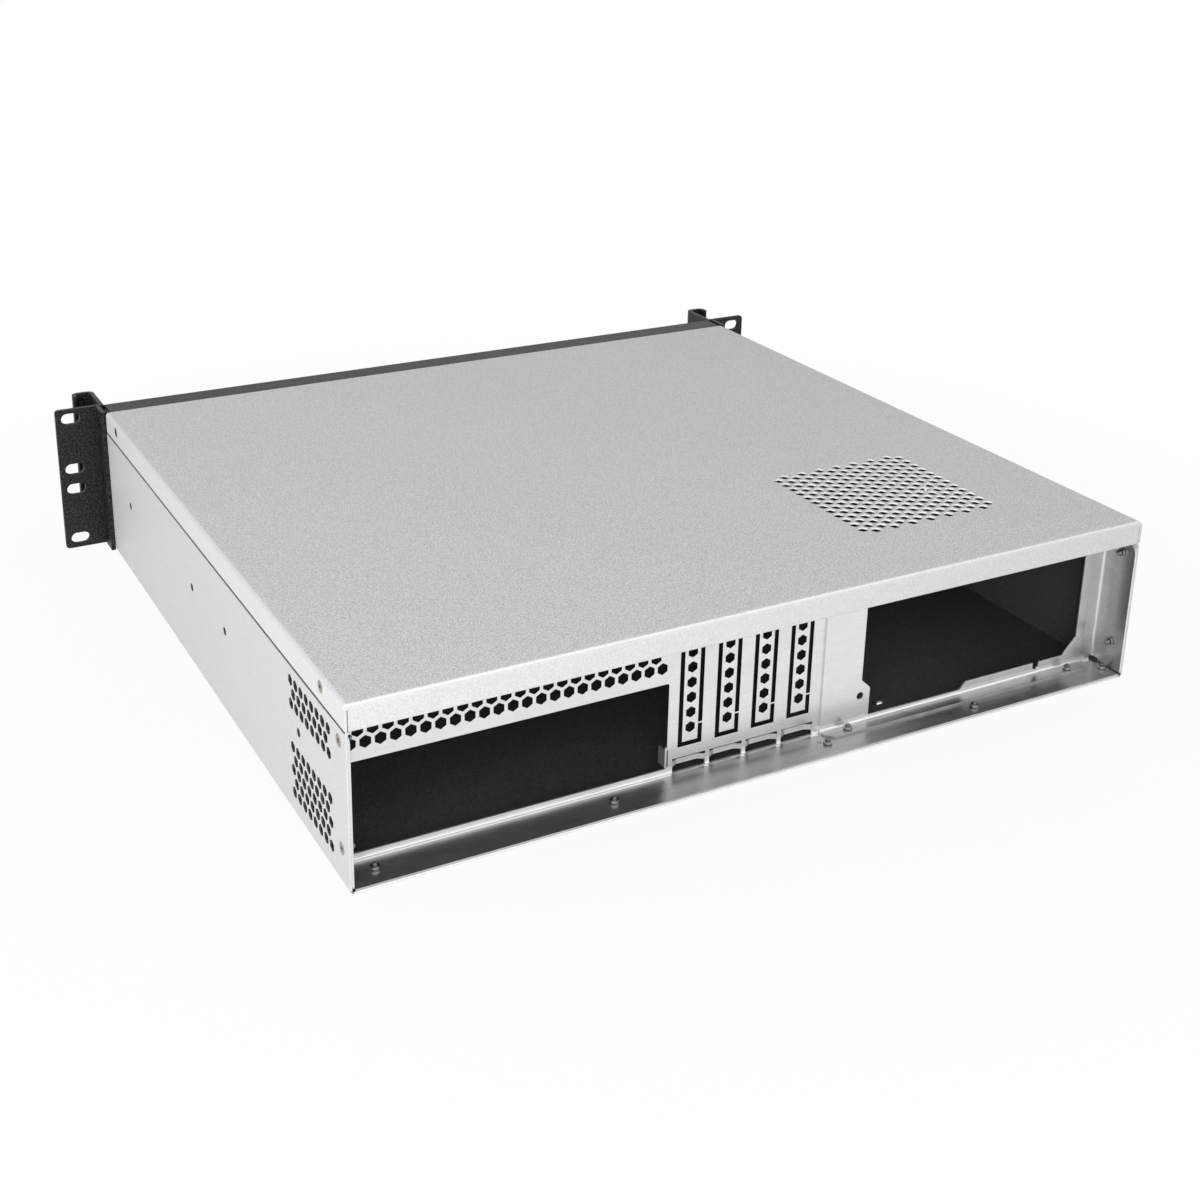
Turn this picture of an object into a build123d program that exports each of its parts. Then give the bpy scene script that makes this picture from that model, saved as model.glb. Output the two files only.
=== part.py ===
from build123d import *
import os

# An empty rackmount server case, two rack units high, seen mostly from behind.
# Frame: X across the case, Z up from the surface it rests on, and the case's back
# looks along +Y. The origin is at the middle of the base. "Depth" in the names is
# the distance forward of the lid's rear edge.

# Sheet metal
SHEET = 1.0
BEND = 1.2
SEAT_GAP = 0.3
CORNER_GAP = 0.4
CUT = 1.0

# Outer size: a standard rack width, and two rack units high
RACK_WIDTH = 482.6
EAR_REACH = 26.3
BODY_HEIGHT = 88.0
LID_DEPTH = 390.0
BODY_WIDTH = RACK_WIDTH - 2 * EAR_REACH

# How far the outer size is from the real one, as a share that places and patterns follow
ACROSS = BODY_WIDTH / 430.0
RISE = BODY_HEIGHT / 88.0
ALONG = LID_DEPTH / 390.0

# Outer tray and lid
LIP_HEIGHT = 12.0
JOGGLE_BEND = 0.5
FASCIA_ROOM = 15.0

# Rack ears with their handles, one profile on each side
RACK_HOLE_INSET = 8.75
RACK_SLOT_LENGTH = 11.0
RACK_SLOT_HEIGHT = 6.8
RACK_SLOT_OUTER = 76.2 * RISE
RACK_SLOT_INNER = 12.7 * RISE
EAR_PLATE = 2.5
EAR_SIDE_FLANGE = 14.0
EAR_CORNER = 2.0
HANDLE_REACH = 27.0
HANDLE_HOOK = 13.2
HANDLE_LIP = 7.5
HANDLE_CORNER = 4.0
EAR_SCREW_INSET = 6.0
EAR_SCREW_SPREAD = 35.5 * RISE
EAR_SCREW_DIAMETER = 4.0
EAR_SCREW_HEAD = 8.0
EAR_SCREW_LENGTH = 10.0
NUT_ACROSS = 7.0
NUT_THICKNESS = 3.0

# Ventilation hexagons: size across the flats and pitch
LID_HEX = 5.0
LID_HEX_PITCH = 6.62
LID_HEX_COLUMNS = 8
LID_HEX_ROWS = 12
LID_VENT_X = -120.5 * ACROSS
LID_VENT_DEPTH = 90.2 * ALONG
SIDE_HEX = 4.9
SIDE_HEX_PITCH = 6.63
SIDE_HEX_COUNT = 8
SIDE_VENT_DEPTH = 20.4
SIDE_UPPER_VENT_TOP = 67.6 * RISE
SIDE_UPPER_VENT_ROWS = 3
SIDE_LOWER_VENT_TOP = 34.6 * RISE
SIDE_LOWER_VENT_ROWS = 5
REAR_HEX = 5.2
REAR_HEX_PITCH = 6.857 * ACROSS
REAR_HEX_COUNT = 23
REAR_HEX_ROWS = 3
REAR_VENT_HEIGHT = 57.6 * RISE
SLOT_HEX = 5.0
SLOT_HEX_PITCH = 7.75 * RISE
SLOT_HEX_COUNT = 6
SLOT_HEX_BOTTOM = 24.0 * RISE

# Round rail holes in the side walls: depth and height of each
RAIL_HOLE_DIAMETER = 4.2
RAIL_HOLE_PLACES = [(58.3, 46.0), (164.5, 47.0), (220.0, 47.0), (343.6, 46.0)]

# Small lanced slot for a cable tie in the floor
TIE_SLOT_X = -79.5 * ACROSS
TIE_SLOT_DEPTH = 31.0
TIE_SLOT_LENGTH = 4.5
TIE_SLOT_WIDTH = 2.5
TIE_TAB_HEIGHT = 1.4

# Rear panel, a bare pan set inside the tray
REAR_WALL_DEPTH = 20.0
REAR_WALL_DROP = 5.0
SIDE_FLANGE_CORNER = 4.0
CARD_FLANGE = 13.0
CORNER_RELIEF = 1.8
DIMPLE_X = -30.2 * ACROSS
DIMPLE_DEPTH = 11.8
DIMPLE_DIAMETER = 2.0
DIMPLE_SINK = 0.4
IO_WIDTH = 158.75 * ACROSS
IO_HEIGHT = 44.45 * RISE
IO_ABOVE_FLOOR = 3.81
IO_EDGE_X = 51.0 * ACROSS
IO_CORNER = 1.0
IO_TAB_HEIGHT = 9.0
IO_TAB_REACH = 6.0
IO_TAB_BOTTOM = 5.5
IO_TAB_ROOT = 1.5
IO_TAB_SLIT = 0.7

# Four expansion slots, still closed by their knock-out covers
SLOT_COUNT = 4
SLOT_PITCH = 20.32 * ACROSS
FIRST_SLOT_X = 38.8 * ACROSS
SLOT_WIDTH = 13.0 * ACROSS
SLOT_SLIT = 2.3
SLOT_BOTTOM = 14.6 * RISE
SLOT_TOP = 77.5 * RISE
SLOT_BRIDGE_HEIGHT = 25.2 * RISE
SLOT_BRIDGE = 0.8
FOOT_WIDTH = 18.0 * ACROSS
FOOT_BOTTOM = 2.2
FOOT_TOP = 9.2
FOOT_STRIP_BOTTOM = 4.7
FOOT_STRIP_TOP = 7.4
FOOT_STRIP_FLAT = 11.0 * ACROSS
FOOT_STRIP_SINK = 2.0

# Power supply plate, screwed on the rear wall, and the window behind it
SUPPLY_WIDTH = 150.0 * ACROSS
SUPPLY_EDGE_X = -52.5 * ACROSS
SUPPLY_HOLE_INSET = 6.0
SUPPLY_HOLE_SPAN = 138.0 * ACROSS
SUPPLY_HOLE_DROP = 64.0 * RISE
SUPPLY_NOTCH_SPAN = 114.0 * ACROSS
SUPPLY_NOTCH_DROP = 74.0 * RISE
SUPPLY_HOLE_DIAMETER = 4.0
SUPPLY_PLATE_LEFT = -35.5 * ACROSS
SUPPLY_PLATE_RIGHT = -204.0 * ACROSS
SUPPLY_PLATE_DROP = 2.5
SUPPLY_FOOT = 8.5
SUPPLY_WINDOW_MARGIN = 1.5
SUPPLY_WINDOW_BOTTOM = 4.0
SUPPLY_FOOT_CHAMFER = 4.0

# Corners of the opening in the supply plate, as X and height, going round past its holes
SUPPLY_OPENING = [(-59.0, 25.5), (-59.0, 72.5), (-64.3, 77.5), (-190.7, 77.5), (-199.0, 70.0), (-199.0, 17.6),
                  (-191.0, 9.0), (-126.0, 9.0), (-122.3, 5.0), (-64.3, 5.0), (-64.3, 20.5)]

# Front: inner wall, fascia and fans
FRAME_AHEAD = 2.0
FRAME_FLANGE_REACH = 12.0
FAN_SHARE = min(ACROSS, RISE)
FAN_DIAMETER = 78.0 * FAN_SHARE
FAN_HOLE_SPACING = 71.5 * FAN_SHARE
FAN_HOLE_DIAMETER = 4.5
FAN_PLACES_X = [15.0, 105.0]
FASCIA_SHEET = 1.5
FASCIA_HEX = 6.0
FASCIA_HEX_PITCH = 8.0
BOSS_ACROSS = 6.0
BOSS_PLACES_X = [-204.0, -38.0, 154.0]
BOSS_INSET = 12.0

# Front controls on one upright board
CONTROL_X = 184.0 * ACROSS
BOARD_THICKNESS = 1.6
BOARD_STANDOFF = 1.5
BOARD_WIDTH = 40.0 * ACROSS
BOARD_INSET = 9.0
BOARD_HOLE_INSET = 4.0
POWER_HEIGHT = 66.0 * RISE
RESET_HEIGHT = 50.0 * RISE
POWER_DIAMETER = 12.0
RESET_DIAMETER = 5.0
BUTTON_PROUD = 2.0
BUTTON_RIM = 1.2
BUTTON_RIM_THICKNESS = 1.5
BUTTON_TRAVEL = 1.5
SWITCH_SIDE = 6.0
SWITCH_HEIGHT = 6.0
SWITCH_WALL = 1.0
PLUNGER_DIAMETER = 3.0
LENS_DIAMETER = 3.0
LENS_CLEARANCE = 0.1
LENS_RIM = 0.8
LENS_RIM_LENGTH = 4.0
LENS_PROUD = 0.8
LENS_OFFSET = 9.0
USB_WIDTH = 13.1
USB_HEIGHT = 5.7
USB_WALL = 0.4
USB_HEIGHTS = [22.0, 34.0]

# Drive cage, a hat of sheet over two drives
CAGE_LEFT = -95.0 * ACROSS
CAGE_INNER_WIDTH = 102.2 * ACROSS
CAGE_HEIGHT = 60.0 * RISE
CAGE_DEPTH = 147.0 * ALONG
CAGE_FOOT = 10.0
CAGE_FRONT_GAP = 4.0
CAGE_SLOT_COUNT = 5
CAGE_SLOT_WIDTH = 6.5
DRIVE_PITCH = 28.0 * RISE
DRIVE_SCREW_HEIGHT = 7.5
DRIVE_SCREW_FRONT = 28.5
DRIVE_SCREW_SPAN = 101.6 * ALONG
DRIVE_SCREW_HOLE = 3.6

# Brace under the lid
BRACE_DEPTH = 205.0 * ALONG
BRACE_WIDTH = 24.0
BRACE_HEIGHT = 9.0

# Small fasteners
SCREW_DIAMETER = 3.0
SCREW_HEAD_DIAMETER = 5.8
SCREW_LENGTH = 6.0
SCREW_CLEARANCE = 0.05
SCREW_RECESS = 2.8
SCREW_RECESS_WIDTH = 0.6
SCREW_RECESS_DEPTH = 0.8
PAN_HEAD_DIAMETER = 6.0
PAN_HEAD_HEIGHT = 2.0
FLOOR_SCREW_LENGTH = 5.0
PRESS_NUT_DIAMETER = 4.4
PRESS_NUT_HEIGHT = 1.6
LID_SCREW_REAR = 28.2
LID_SCREW_FRONT = 22.6
LID_SCREW_DROP = 5.0
SIDE_SCREW_DEPTH = 8.5
SIDE_SCREW_HEIGHTS = [17.4, 68.2]
FLOOR_SCREW_PLACES = [(200.0, 10.5), (84.4, 10.0), (-33.3, 9.4), (-121.2, 6.4), (-209.4, 8.8)]
SUPPLY_SCREW_PLACES = [(-49.5, 15.4), (-190.7, 15.0)]
RIVET_DIAMETER = 3.0
RIVET_HEAD = 5.5
RIVET_HEAD_HEIGHT = 1.0

# Places worked out from the sizes above
EAR_BACK_DEPTH = LID_DEPTH + FASCIA_ROOM
EAR_FRONT_DEPTH = EAR_BACK_DEPTH + EAR_PLATE
EAR_SCREW_DEPTH = EAR_BACK_DEPTH - EAR_SCREW_INSET
TOTAL_DEPTH = EAR_FRONT_DEPTH + HANDLE_REACH
REAR_Y = TOTAL_DEPTH / 2
TRAY_DEPTH = EAR_BACK_DEPTH - SEAT_GAP
HALF_WIDTH = BODY_WIDTH / 2
INNER_HALF = HALF_WIDTH - SHEET
LIP_BOTTOM = BODY_HEIGHT - LIP_HEIGHT
OUTER_BEND = BEND + SHEET
JOGGLE = SHEET + SEAT_GAP
UPPER_FACE = HALF_WIDTH - JOGGLE
UPPER_INNER = UPPER_FACE - SHEET
TRAY_WALL_TOP = BODY_HEIGHT - SHEET - BEND - SEAT_GAP
STEP_START = LIP_BOTTOM - JOGGLE
SIDE_FLANGE_TOP = STEP_START - SHEET
SIDE_FLANGE_BOTTOM = SHEET + BEND + SEAT_GAP
FLOOR_FLANGE_EDGE = INNER_HALF - SHEET - CORNER_GAP
REAR_WALL_TOP = BODY_HEIGHT - REAR_WALL_DROP
CARD_SCREW_DEPTH = REAR_WALL_DEPTH + SHEET + CARD_FLANGE / 2
SUPPLY_PLATE_TOP = BODY_HEIGHT - SUPPLY_PLATE_DROP
FRAME_FACE_DEPTH = LID_DEPTH + FRAME_AHEAD
FASCIA_BACK_DEPTH = EAR_FRONT_DEPTH - FASCIA_SHEET
FASCIA_HALF = HALF_WIDTH - EAR_PLATE - SEAT_GAP
IO_BOTTOM = SHEET + IO_ABOVE_FLOOR
MIDDLE_HEIGHT = BODY_HEIGHT / 2
BOARD_BOTTOM = BOARD_INSET
BOARD_TOP = BODY_HEIGHT - BOARD_INSET
BOARD_BACK_DEPTH = FRAME_FACE_DEPTH + BOARD_STANDOFF
BOARD_FACE_DEPTH = BOARD_BACK_DEPTH + BOARD_THICKNESS
BUTTON_BACK_DEPTH = FASCIA_BACK_DEPTH - SEAT_GAP - BUTTON_RIM_THICKNESS
CAGE_RIGHT = CAGE_LEFT - CAGE_INNER_WIDTH
CAGE_FRONT = FRAME_FACE_DEPTH - SHEET - CAGE_FRONT_GAP
CAGE_REAR = CAGE_FRONT - CAGE_DEPTH
BRACE_TOP = BODY_HEIGHT - SHEET - SEAT_GAP
BRACE_HALF = UPPER_INNER - SEAT_GAP
BRACE_RIVET_HEIGHT = BRACE_TOP - (BRACE_HEIGHT + OUTER_BEND) / 2
HEX_ROW = 3 ** 0.5 / 2
SMALL_SCREW = (SCREW_DIAMETER, SCREW_HEAD_DIAMETER, SCREW_LENGTH)
HEAD_DOWN = Rot(180, 0, 0)
HEAD_FORWARD = Rot(90, 0, 0)


def block(x0, x1, d0, d1, z0, z1):
    """Box between two X places, two depths and two heights."""
    middle = ((x0 + x1) / 2, REAR_Y - (d0 + d1) / 2, (z0 + z1) / 2)
    return Pos(*middle) * Box(abs(x1 - x0), abs(d1 - d0), abs(z1 - z0))


def at(x, depth, z):
    """Place on the case, with Y given as a depth forward of the rear edge."""
    return Pos(x, REAR_Y - depth, z)


def strip_section(path, thickness, bends):
    """Section of a bent sheet whose left face follows path; bends are the corners' inside radii."""
    points = [Vector(*point) for point in path]
    runs = [(b - a).normalized() for a, b in zip(points, points[1:])]
    sides = [Vector(run.Y, -run.X) for run in runs]
    other = [points[0] + sides[0] * thickness]
    left_radii = []
    right_radii = []
    for index, bend in enumerate(bends):
        before = sides[index]
        after = sides[index + 1]
        other.append(points[index + 1] + (before + after) * (thickness / (1 + before.dot(after))))
        turns_left = runs[index].cross(runs[index + 1]).Z > 0
        left_radii.append(bend if turns_left else bend + thickness)
        right_radii.append(bend + thickness if turns_left else bend)
    other.append(points[-1] + sides[-1] * thickness)
    left = FilletPolyline(*points, radius=left_radii)
    right = FilletPolyline(*other, radius=right_radii)
    ends = [Line(points[0], other[0]), Line(points[-1], other[-1])]
    return make_face(left.edges() + right.edges() + [end.edge() for end in ends])


def across(section, depth, length):
    """Run an X-Z section forward from a depth."""
    return extrude(Pos(0, REAR_Y - depth, 0) * (Plane.XZ * section), length)


def along_x(section, x0, x1):
    """Run a section in depth and height from one X place to another."""
    turned = Plane((x0, REAR_Y, 0), x_dir=(0, -1, 0), z_dir=(-1, 0, 0))
    return extrude(turned * section, x0 - x1)


def folds(box, walls, base):
    """Edges of a box where its base wall meets one of its other walls."""
    middle = box.bounding_box().center()
    found = []
    for edge in box.edges():
        offset = edge.center() - middle
        parts = zip("XYZ", (offset.X, offset.Y, offset.Z))
        sides = {("+" if value > 0 else "-") + name for name, value in parts if abs(value) > SHEET}
        if base in sides and sides <= walls:
            found.append(edge)
    return found


def folded_box(x0, x1, d0, d1, z0, z1, walls, base):
    """Box of bent sheet: a base wall with flanges on the walls named, open on the rest."""
    grow = {side: SHEET if side in walls else -CUT for side in ("-X", "+X", "+Y", "-Y", "-Z", "+Z")}
    outer = block(x0, x1, d0, d1, z0, z1)
    inner = block(x0 + grow["-X"], x1 - grow["+X"], d0 + grow["+Y"], d1 - grow["-Y"],
                  z0 + grow["-Z"], z1 - grow["+Z"])
    outer = fillet(folds(outer, walls, base), OUTER_BEND)
    inner = fillet(folds(inner, walls, base), BEND)
    return outer - inner


def hex_punch(size, vertex_up):
    """Short hexagonal prism along Z, centred on the origin."""
    turn = 90 if vertex_up else 0
    outline = RegularPolygon(size / 2, 6, major_radius=False, rotation=turn)
    return extrude(outline, 2 * SHEET, both=True)


def round_punch(diameter, length=4 * SHEET):
    """Round bar along Z, centred on the origin."""
    return Cylinder(diameter / 2, length)


def flat_screw(diameter, head, length, recessed=True, grow=0.0):
    """Countersunk screw along -Z with its head's face at the origin."""
    shank = diameter / 2 + grow
    rim = head / 2 + grow
    taper = rim - shank
    tip = diameter / 5
    outline = Polyline((0, 0, 0), (rim, 0, 0), (shank, 0, -taper), (shank, 0, tip - length),
                       (shank - tip, 0, -length), (0, 0, -length), close=True)
    screw = revolve(make_face(outline), Axis.Z)
    if recessed:
        size = SCREW_RECESS * head / SCREW_HEAD_DIAMETER
        screw -= Box(size, SCREW_RECESS_WIDTH, 2 * SCREW_RECESS_DEPTH)
        screw -= Box(SCREW_RECESS_WIDTH, size, 2 * SCREW_RECESS_DEPTH)
    return screw


def screw_hole(diameter, head, length):
    """Countersunk hole that a flat screw sits in."""
    return flat_screw(diameter, head, length + CUT, False, SCREW_CLEARANCE)


def turned_out(side):
    """Turn a screw so that its head faces out of the wall on one side, +1 or -1."""
    return Rot(0, 90 * side, 0)


def both_sides(shape):
    """A shape and its mirror image on the case's other side."""
    return [shape, mirror(shape, Plane.YZ)]


def side_hex_places():
    """Depth and height of each hexagon in the two vents beside the board opening."""
    places = []
    vents = ((SIDE_UPPER_VENT_TOP, SIDE_UPPER_VENT_ROWS), (SIDE_LOWER_VENT_TOP, SIDE_LOWER_VENT_ROWS))
    for top, rows in vents:
        for row in range(rows):
            short = row % 2
            for index in range(SIDE_HEX_COUNT - short):
                depth = SIDE_VENT_DEPTH + (index + short / 2) * SIDE_HEX_PITCH
                places.append((depth, top - row * SIDE_HEX_PITCH * HEX_ROW))
    return places


def lid_screw_places():
    """Depth and height of the lid's screws on one side."""
    return [(depth, BODY_HEIGHT - LID_SCREW_DROP) for depth in (LID_SCREW_REAR, LID_DEPTH - LID_SCREW_FRONT)]


def side_screw_places():
    """Depth and height of the rear panel's screws on one side."""
    return [(SIDE_SCREW_DEPTH, height * RISE) for height in SIDE_SCREW_HEIGHTS]


def ear_screw_places():
    """Depth and height of one ear's screws."""
    return [(EAR_SCREW_DEPTH, MIDDLE_HEIGHT + step * EAR_SCREW_SPREAD) for step in (-1, 0, 1)]


def across_places(places):
    """Places on the floor, as X and depth, that follow the body's width."""
    return [(x * ACROSS, depth) for x, depth in places]


def wall_screws(places, face_x, diameter, head, length, hole=False):
    """Screws, or the holes for them, with their heads flush with both side faces."""
    maker = screw_hole if hole else flat_screw
    screw = turned_out(1) * maker(diameter, head, length)
    found = []
    for depth, height in places:
        found += both_sides(at(face_x, depth, height) * screw)
    return found


def floor_screws(places, length, hole=False):
    """Screws, or the holes for them, put in from below with their heads flush with the floor."""
    maker = screw_hole if hole else flat_screw
    screw = HEAD_DOWN * maker(SCREW_DIAMETER, SCREW_HEAD_DIAMETER, length)
    return [at(x, depth, 0) * screw for x, depth in across_places(places)]


def cage_rivet_places():
    """X and depth of the rivets in the drive cage's feet."""
    rows = (CAGE_LEFT + CAGE_FOOT / 2, CAGE_RIGHT - CAGE_FOOT / 2)
    return [(x, depth) for x in rows for depth in (CAGE_REAR + CAGE_FOOT, CAGE_FRONT - CAGE_FOOT)]


def brace_rivet_depths():
    """Depths of the two rivets in each end of the brace."""
    return [BRACE_DEPTH - BRACE_WIDTH / 4, BRACE_DEPTH + BRACE_WIDTH / 4]


def base_tray():
    """Painted tray: floor and two side walls, stepped inward behind the lid's lips."""
    right = [(UPPER_FACE, TRAY_WALL_TOP), (UPPER_FACE, LIP_BOTTOM), (HALF_WIDTH, STEP_START),
             (HALF_WIDTH, 0)]
    path = right + [(-x, z) for x, z in reversed(right)]
    bends = [JOGGLE_BEND, JOGGLE_BEND, BEND, BEND, JOGGLE_BEND, JOGGLE_BEND]
    tray = across(strip_section(path, SHEET, bends), 0, TRAY_DEPTH)
    tie = (TIE_SLOT_DEPTH, TIE_SLOT_DEPTH + TIE_SLOT_WIDTH)
    tray += block(TIE_SLOT_X, TIE_SLOT_X + SHEET, *tie, SHEET / 2, SHEET + TIE_TAB_HEIGHT)
    vent = Plane.YZ * hex_punch(SIDE_HEX, True)
    holes = both_sides(block(UPPER_INNER - CUT, HALF_WIDTH + CUT, -CUT, SHEET + SEAT_GAP,
                             LIP_BOTTOM - SEAT_GAP, BODY_HEIGHT))
    holes.append(block(TIE_SLOT_X - TIE_SLOT_LENGTH, TIE_SLOT_X, *tie, -CUT, 2 * SHEET))
    for depth, height in side_hex_places():
        holes.append(at(HALF_WIDTH, depth, height) * vent)
    rail = Plane.YZ * round_punch(RAIL_HOLE_DIAMETER)
    for depth, height in RAIL_HOLE_PLACES:
        holes += both_sides(at(HALF_WIDTH, depth * ALONG, height * RISE) * rail)
    holes += wall_screws(side_screw_places(), HALF_WIDTH, *SMALL_SCREW, hole=True)
    holes += wall_screws(lid_screw_places(), HALF_WIDTH, *SMALL_SCREW, hole=True)
    holes += ear_screw_holes()
    holes += floor_screws(FLOOR_SCREW_PLACES, FLOOR_SCREW_LENGTH, hole=True)
    holes += floor_screws(SUPPLY_SCREW_PLACES, FLOOR_SCREW_LENGTH + SHEET, hole=True)
    rivet = round_punch(RIVET_DIAMETER + 2 * SCREW_CLEARANCE)
    holes += [at(x, depth, 0) * rivet for x, depth in cage_rivet_places()]
    side_rivet = Plane.YZ * rivet
    for depth in brace_rivet_depths():
        holes += both_sides(at(UPPER_FACE, depth, BRACE_RIVET_HEIGHT) * side_rivet)
    return tray - holes


def ear_screw_holes():
    """Plain holes through the side walls for the ear screws."""
    hole = Plane.YZ * round_punch(EAR_SCREW_DIAMETER + 2 * SCREW_CLEARANCE, 8 * SHEET)
    found = []
    for depth, height in ear_screw_places():
        found += both_sides(at(HALF_WIDTH - SHEET, depth, height) * hole)
    return found


def top_cover():
    """Painted lid: a flat sheet with a lip on each side and one at the rear."""
    walls = {"+X", "-X", "+Y", "+Z"}
    lid = folded_box(-HALF_WIDTH, HALF_WIDTH, 0, LID_DEPTH, LIP_BOTTOM, BODY_HEIGHT, walls, "+Z")
    slit_top = BODY_HEIGHT - OUTER_BEND
    slit = block(INNER_HALF - CORNER_GAP, INNER_HALF, -CUT, SHEET, LIP_BOTTOM - CUT, slit_top)
    vent = hex_punch(LID_HEX, False)
    column_step = LID_HEX_PITCH * HEX_ROW
    holes = both_sides(slit)
    for column in range(2 * LID_HEX_COLUMNS - 1):
        long = column % 2
        x = LID_VENT_X + (column - LID_HEX_COLUMNS + 1) * column_step
        for row in range(LID_HEX_ROWS + long):
            depth = LID_VENT_DEPTH + (row - (LID_HEX_ROWS + long - 1) / 2) * LID_HEX_PITCH
            holes.append(at(x, depth, BODY_HEIGHT) * vent)
    holes += wall_screws(lid_screw_places(), HALF_WIDTH, *SMALL_SCREW, hole=True)
    return lid - holes


def slot_centres():
    """X of each expansion slot's middle."""
    return [FIRST_SLOT_X - index * SLOT_PITCH for index in range(SLOT_COUNT)]


def slot_cuts(x):
    """Cuts that free one slot cover on three sides, its hexagons and the foot opening below it."""
    wall = (REAR_WALL_DEPTH - CUT, REAR_WALL_DEPTH + SHEET + CUT)
    half = SLOT_WIDTH / 2
    bridge_bottom = SLOT_BRIDGE_HEIGHT - SLOT_BRIDGE / 2
    cuts = [
        block(x + half - SLOT_SLIT, x + half, *wall, SLOT_BOTTOM, SLOT_TOP),
        block(x - half, x + half, *wall, SLOT_BOTTOM, SLOT_BOTTOM + SLOT_SLIT),
        block(x - half, x - half + SLOT_SLIT, *wall, SLOT_BOTTOM, bridge_bottom),
        block(x - half, x - half + SLOT_SLIT, *wall, bridge_bottom + SLOT_BRIDGE, SLOT_TOP),
        block(x - FOOT_WIDTH / 2, x + FOOT_WIDTH / 2, *wall, FOOT_BOTTOM, FOOT_TOP),
    ]
    vent = Plane.XZ * hex_punch(SLOT_HEX, True)
    for index in range(SLOT_HEX_COUNT):
        cuts.append(at(x, REAR_WALL_DEPTH, SLOT_HEX_BOTTOM + index * SLOT_HEX_PITCH) * vent)
    return cuts


def foot_strip(x):
    """Strip pressed forward across a foot opening, where a card bracket's toe sits."""
    end = FOOT_WIDTH / 2 + SHEET / 2
    flat = FOOT_STRIP_FLAT / 2
    front = REAR_WALL_DEPTH + FOOT_STRIP_SINK
    points = [(x - end, REAR_WALL_DEPTH), (x - flat, front), (x + flat, front), (x + end, REAR_WALL_DEPTH),
              (x + end, REAR_WALL_DEPTH + SHEET), (x + flat, front + SHEET),
              (x - flat, front + SHEET), (x - end, REAR_WALL_DEPTH + SHEET)]
    outline = Polyline(*[(px, REAR_Y - depth, FOOT_STRIP_BOTTOM) for px, depth in points], close=True)
    return extrude(make_face(outline), FOOT_STRIP_TOP - FOOT_STRIP_BOTTOM, dir=(0, 0, 1))


def corner_slit(start, end):
    """Bar cut out where a floor flange and a side flange would meet in the tray's bend."""
    return block(FLOOR_FLANGE_EDGE, HALF_WIDTH, start, end, 0, SIDE_FLANGE_BOTTOM)


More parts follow.
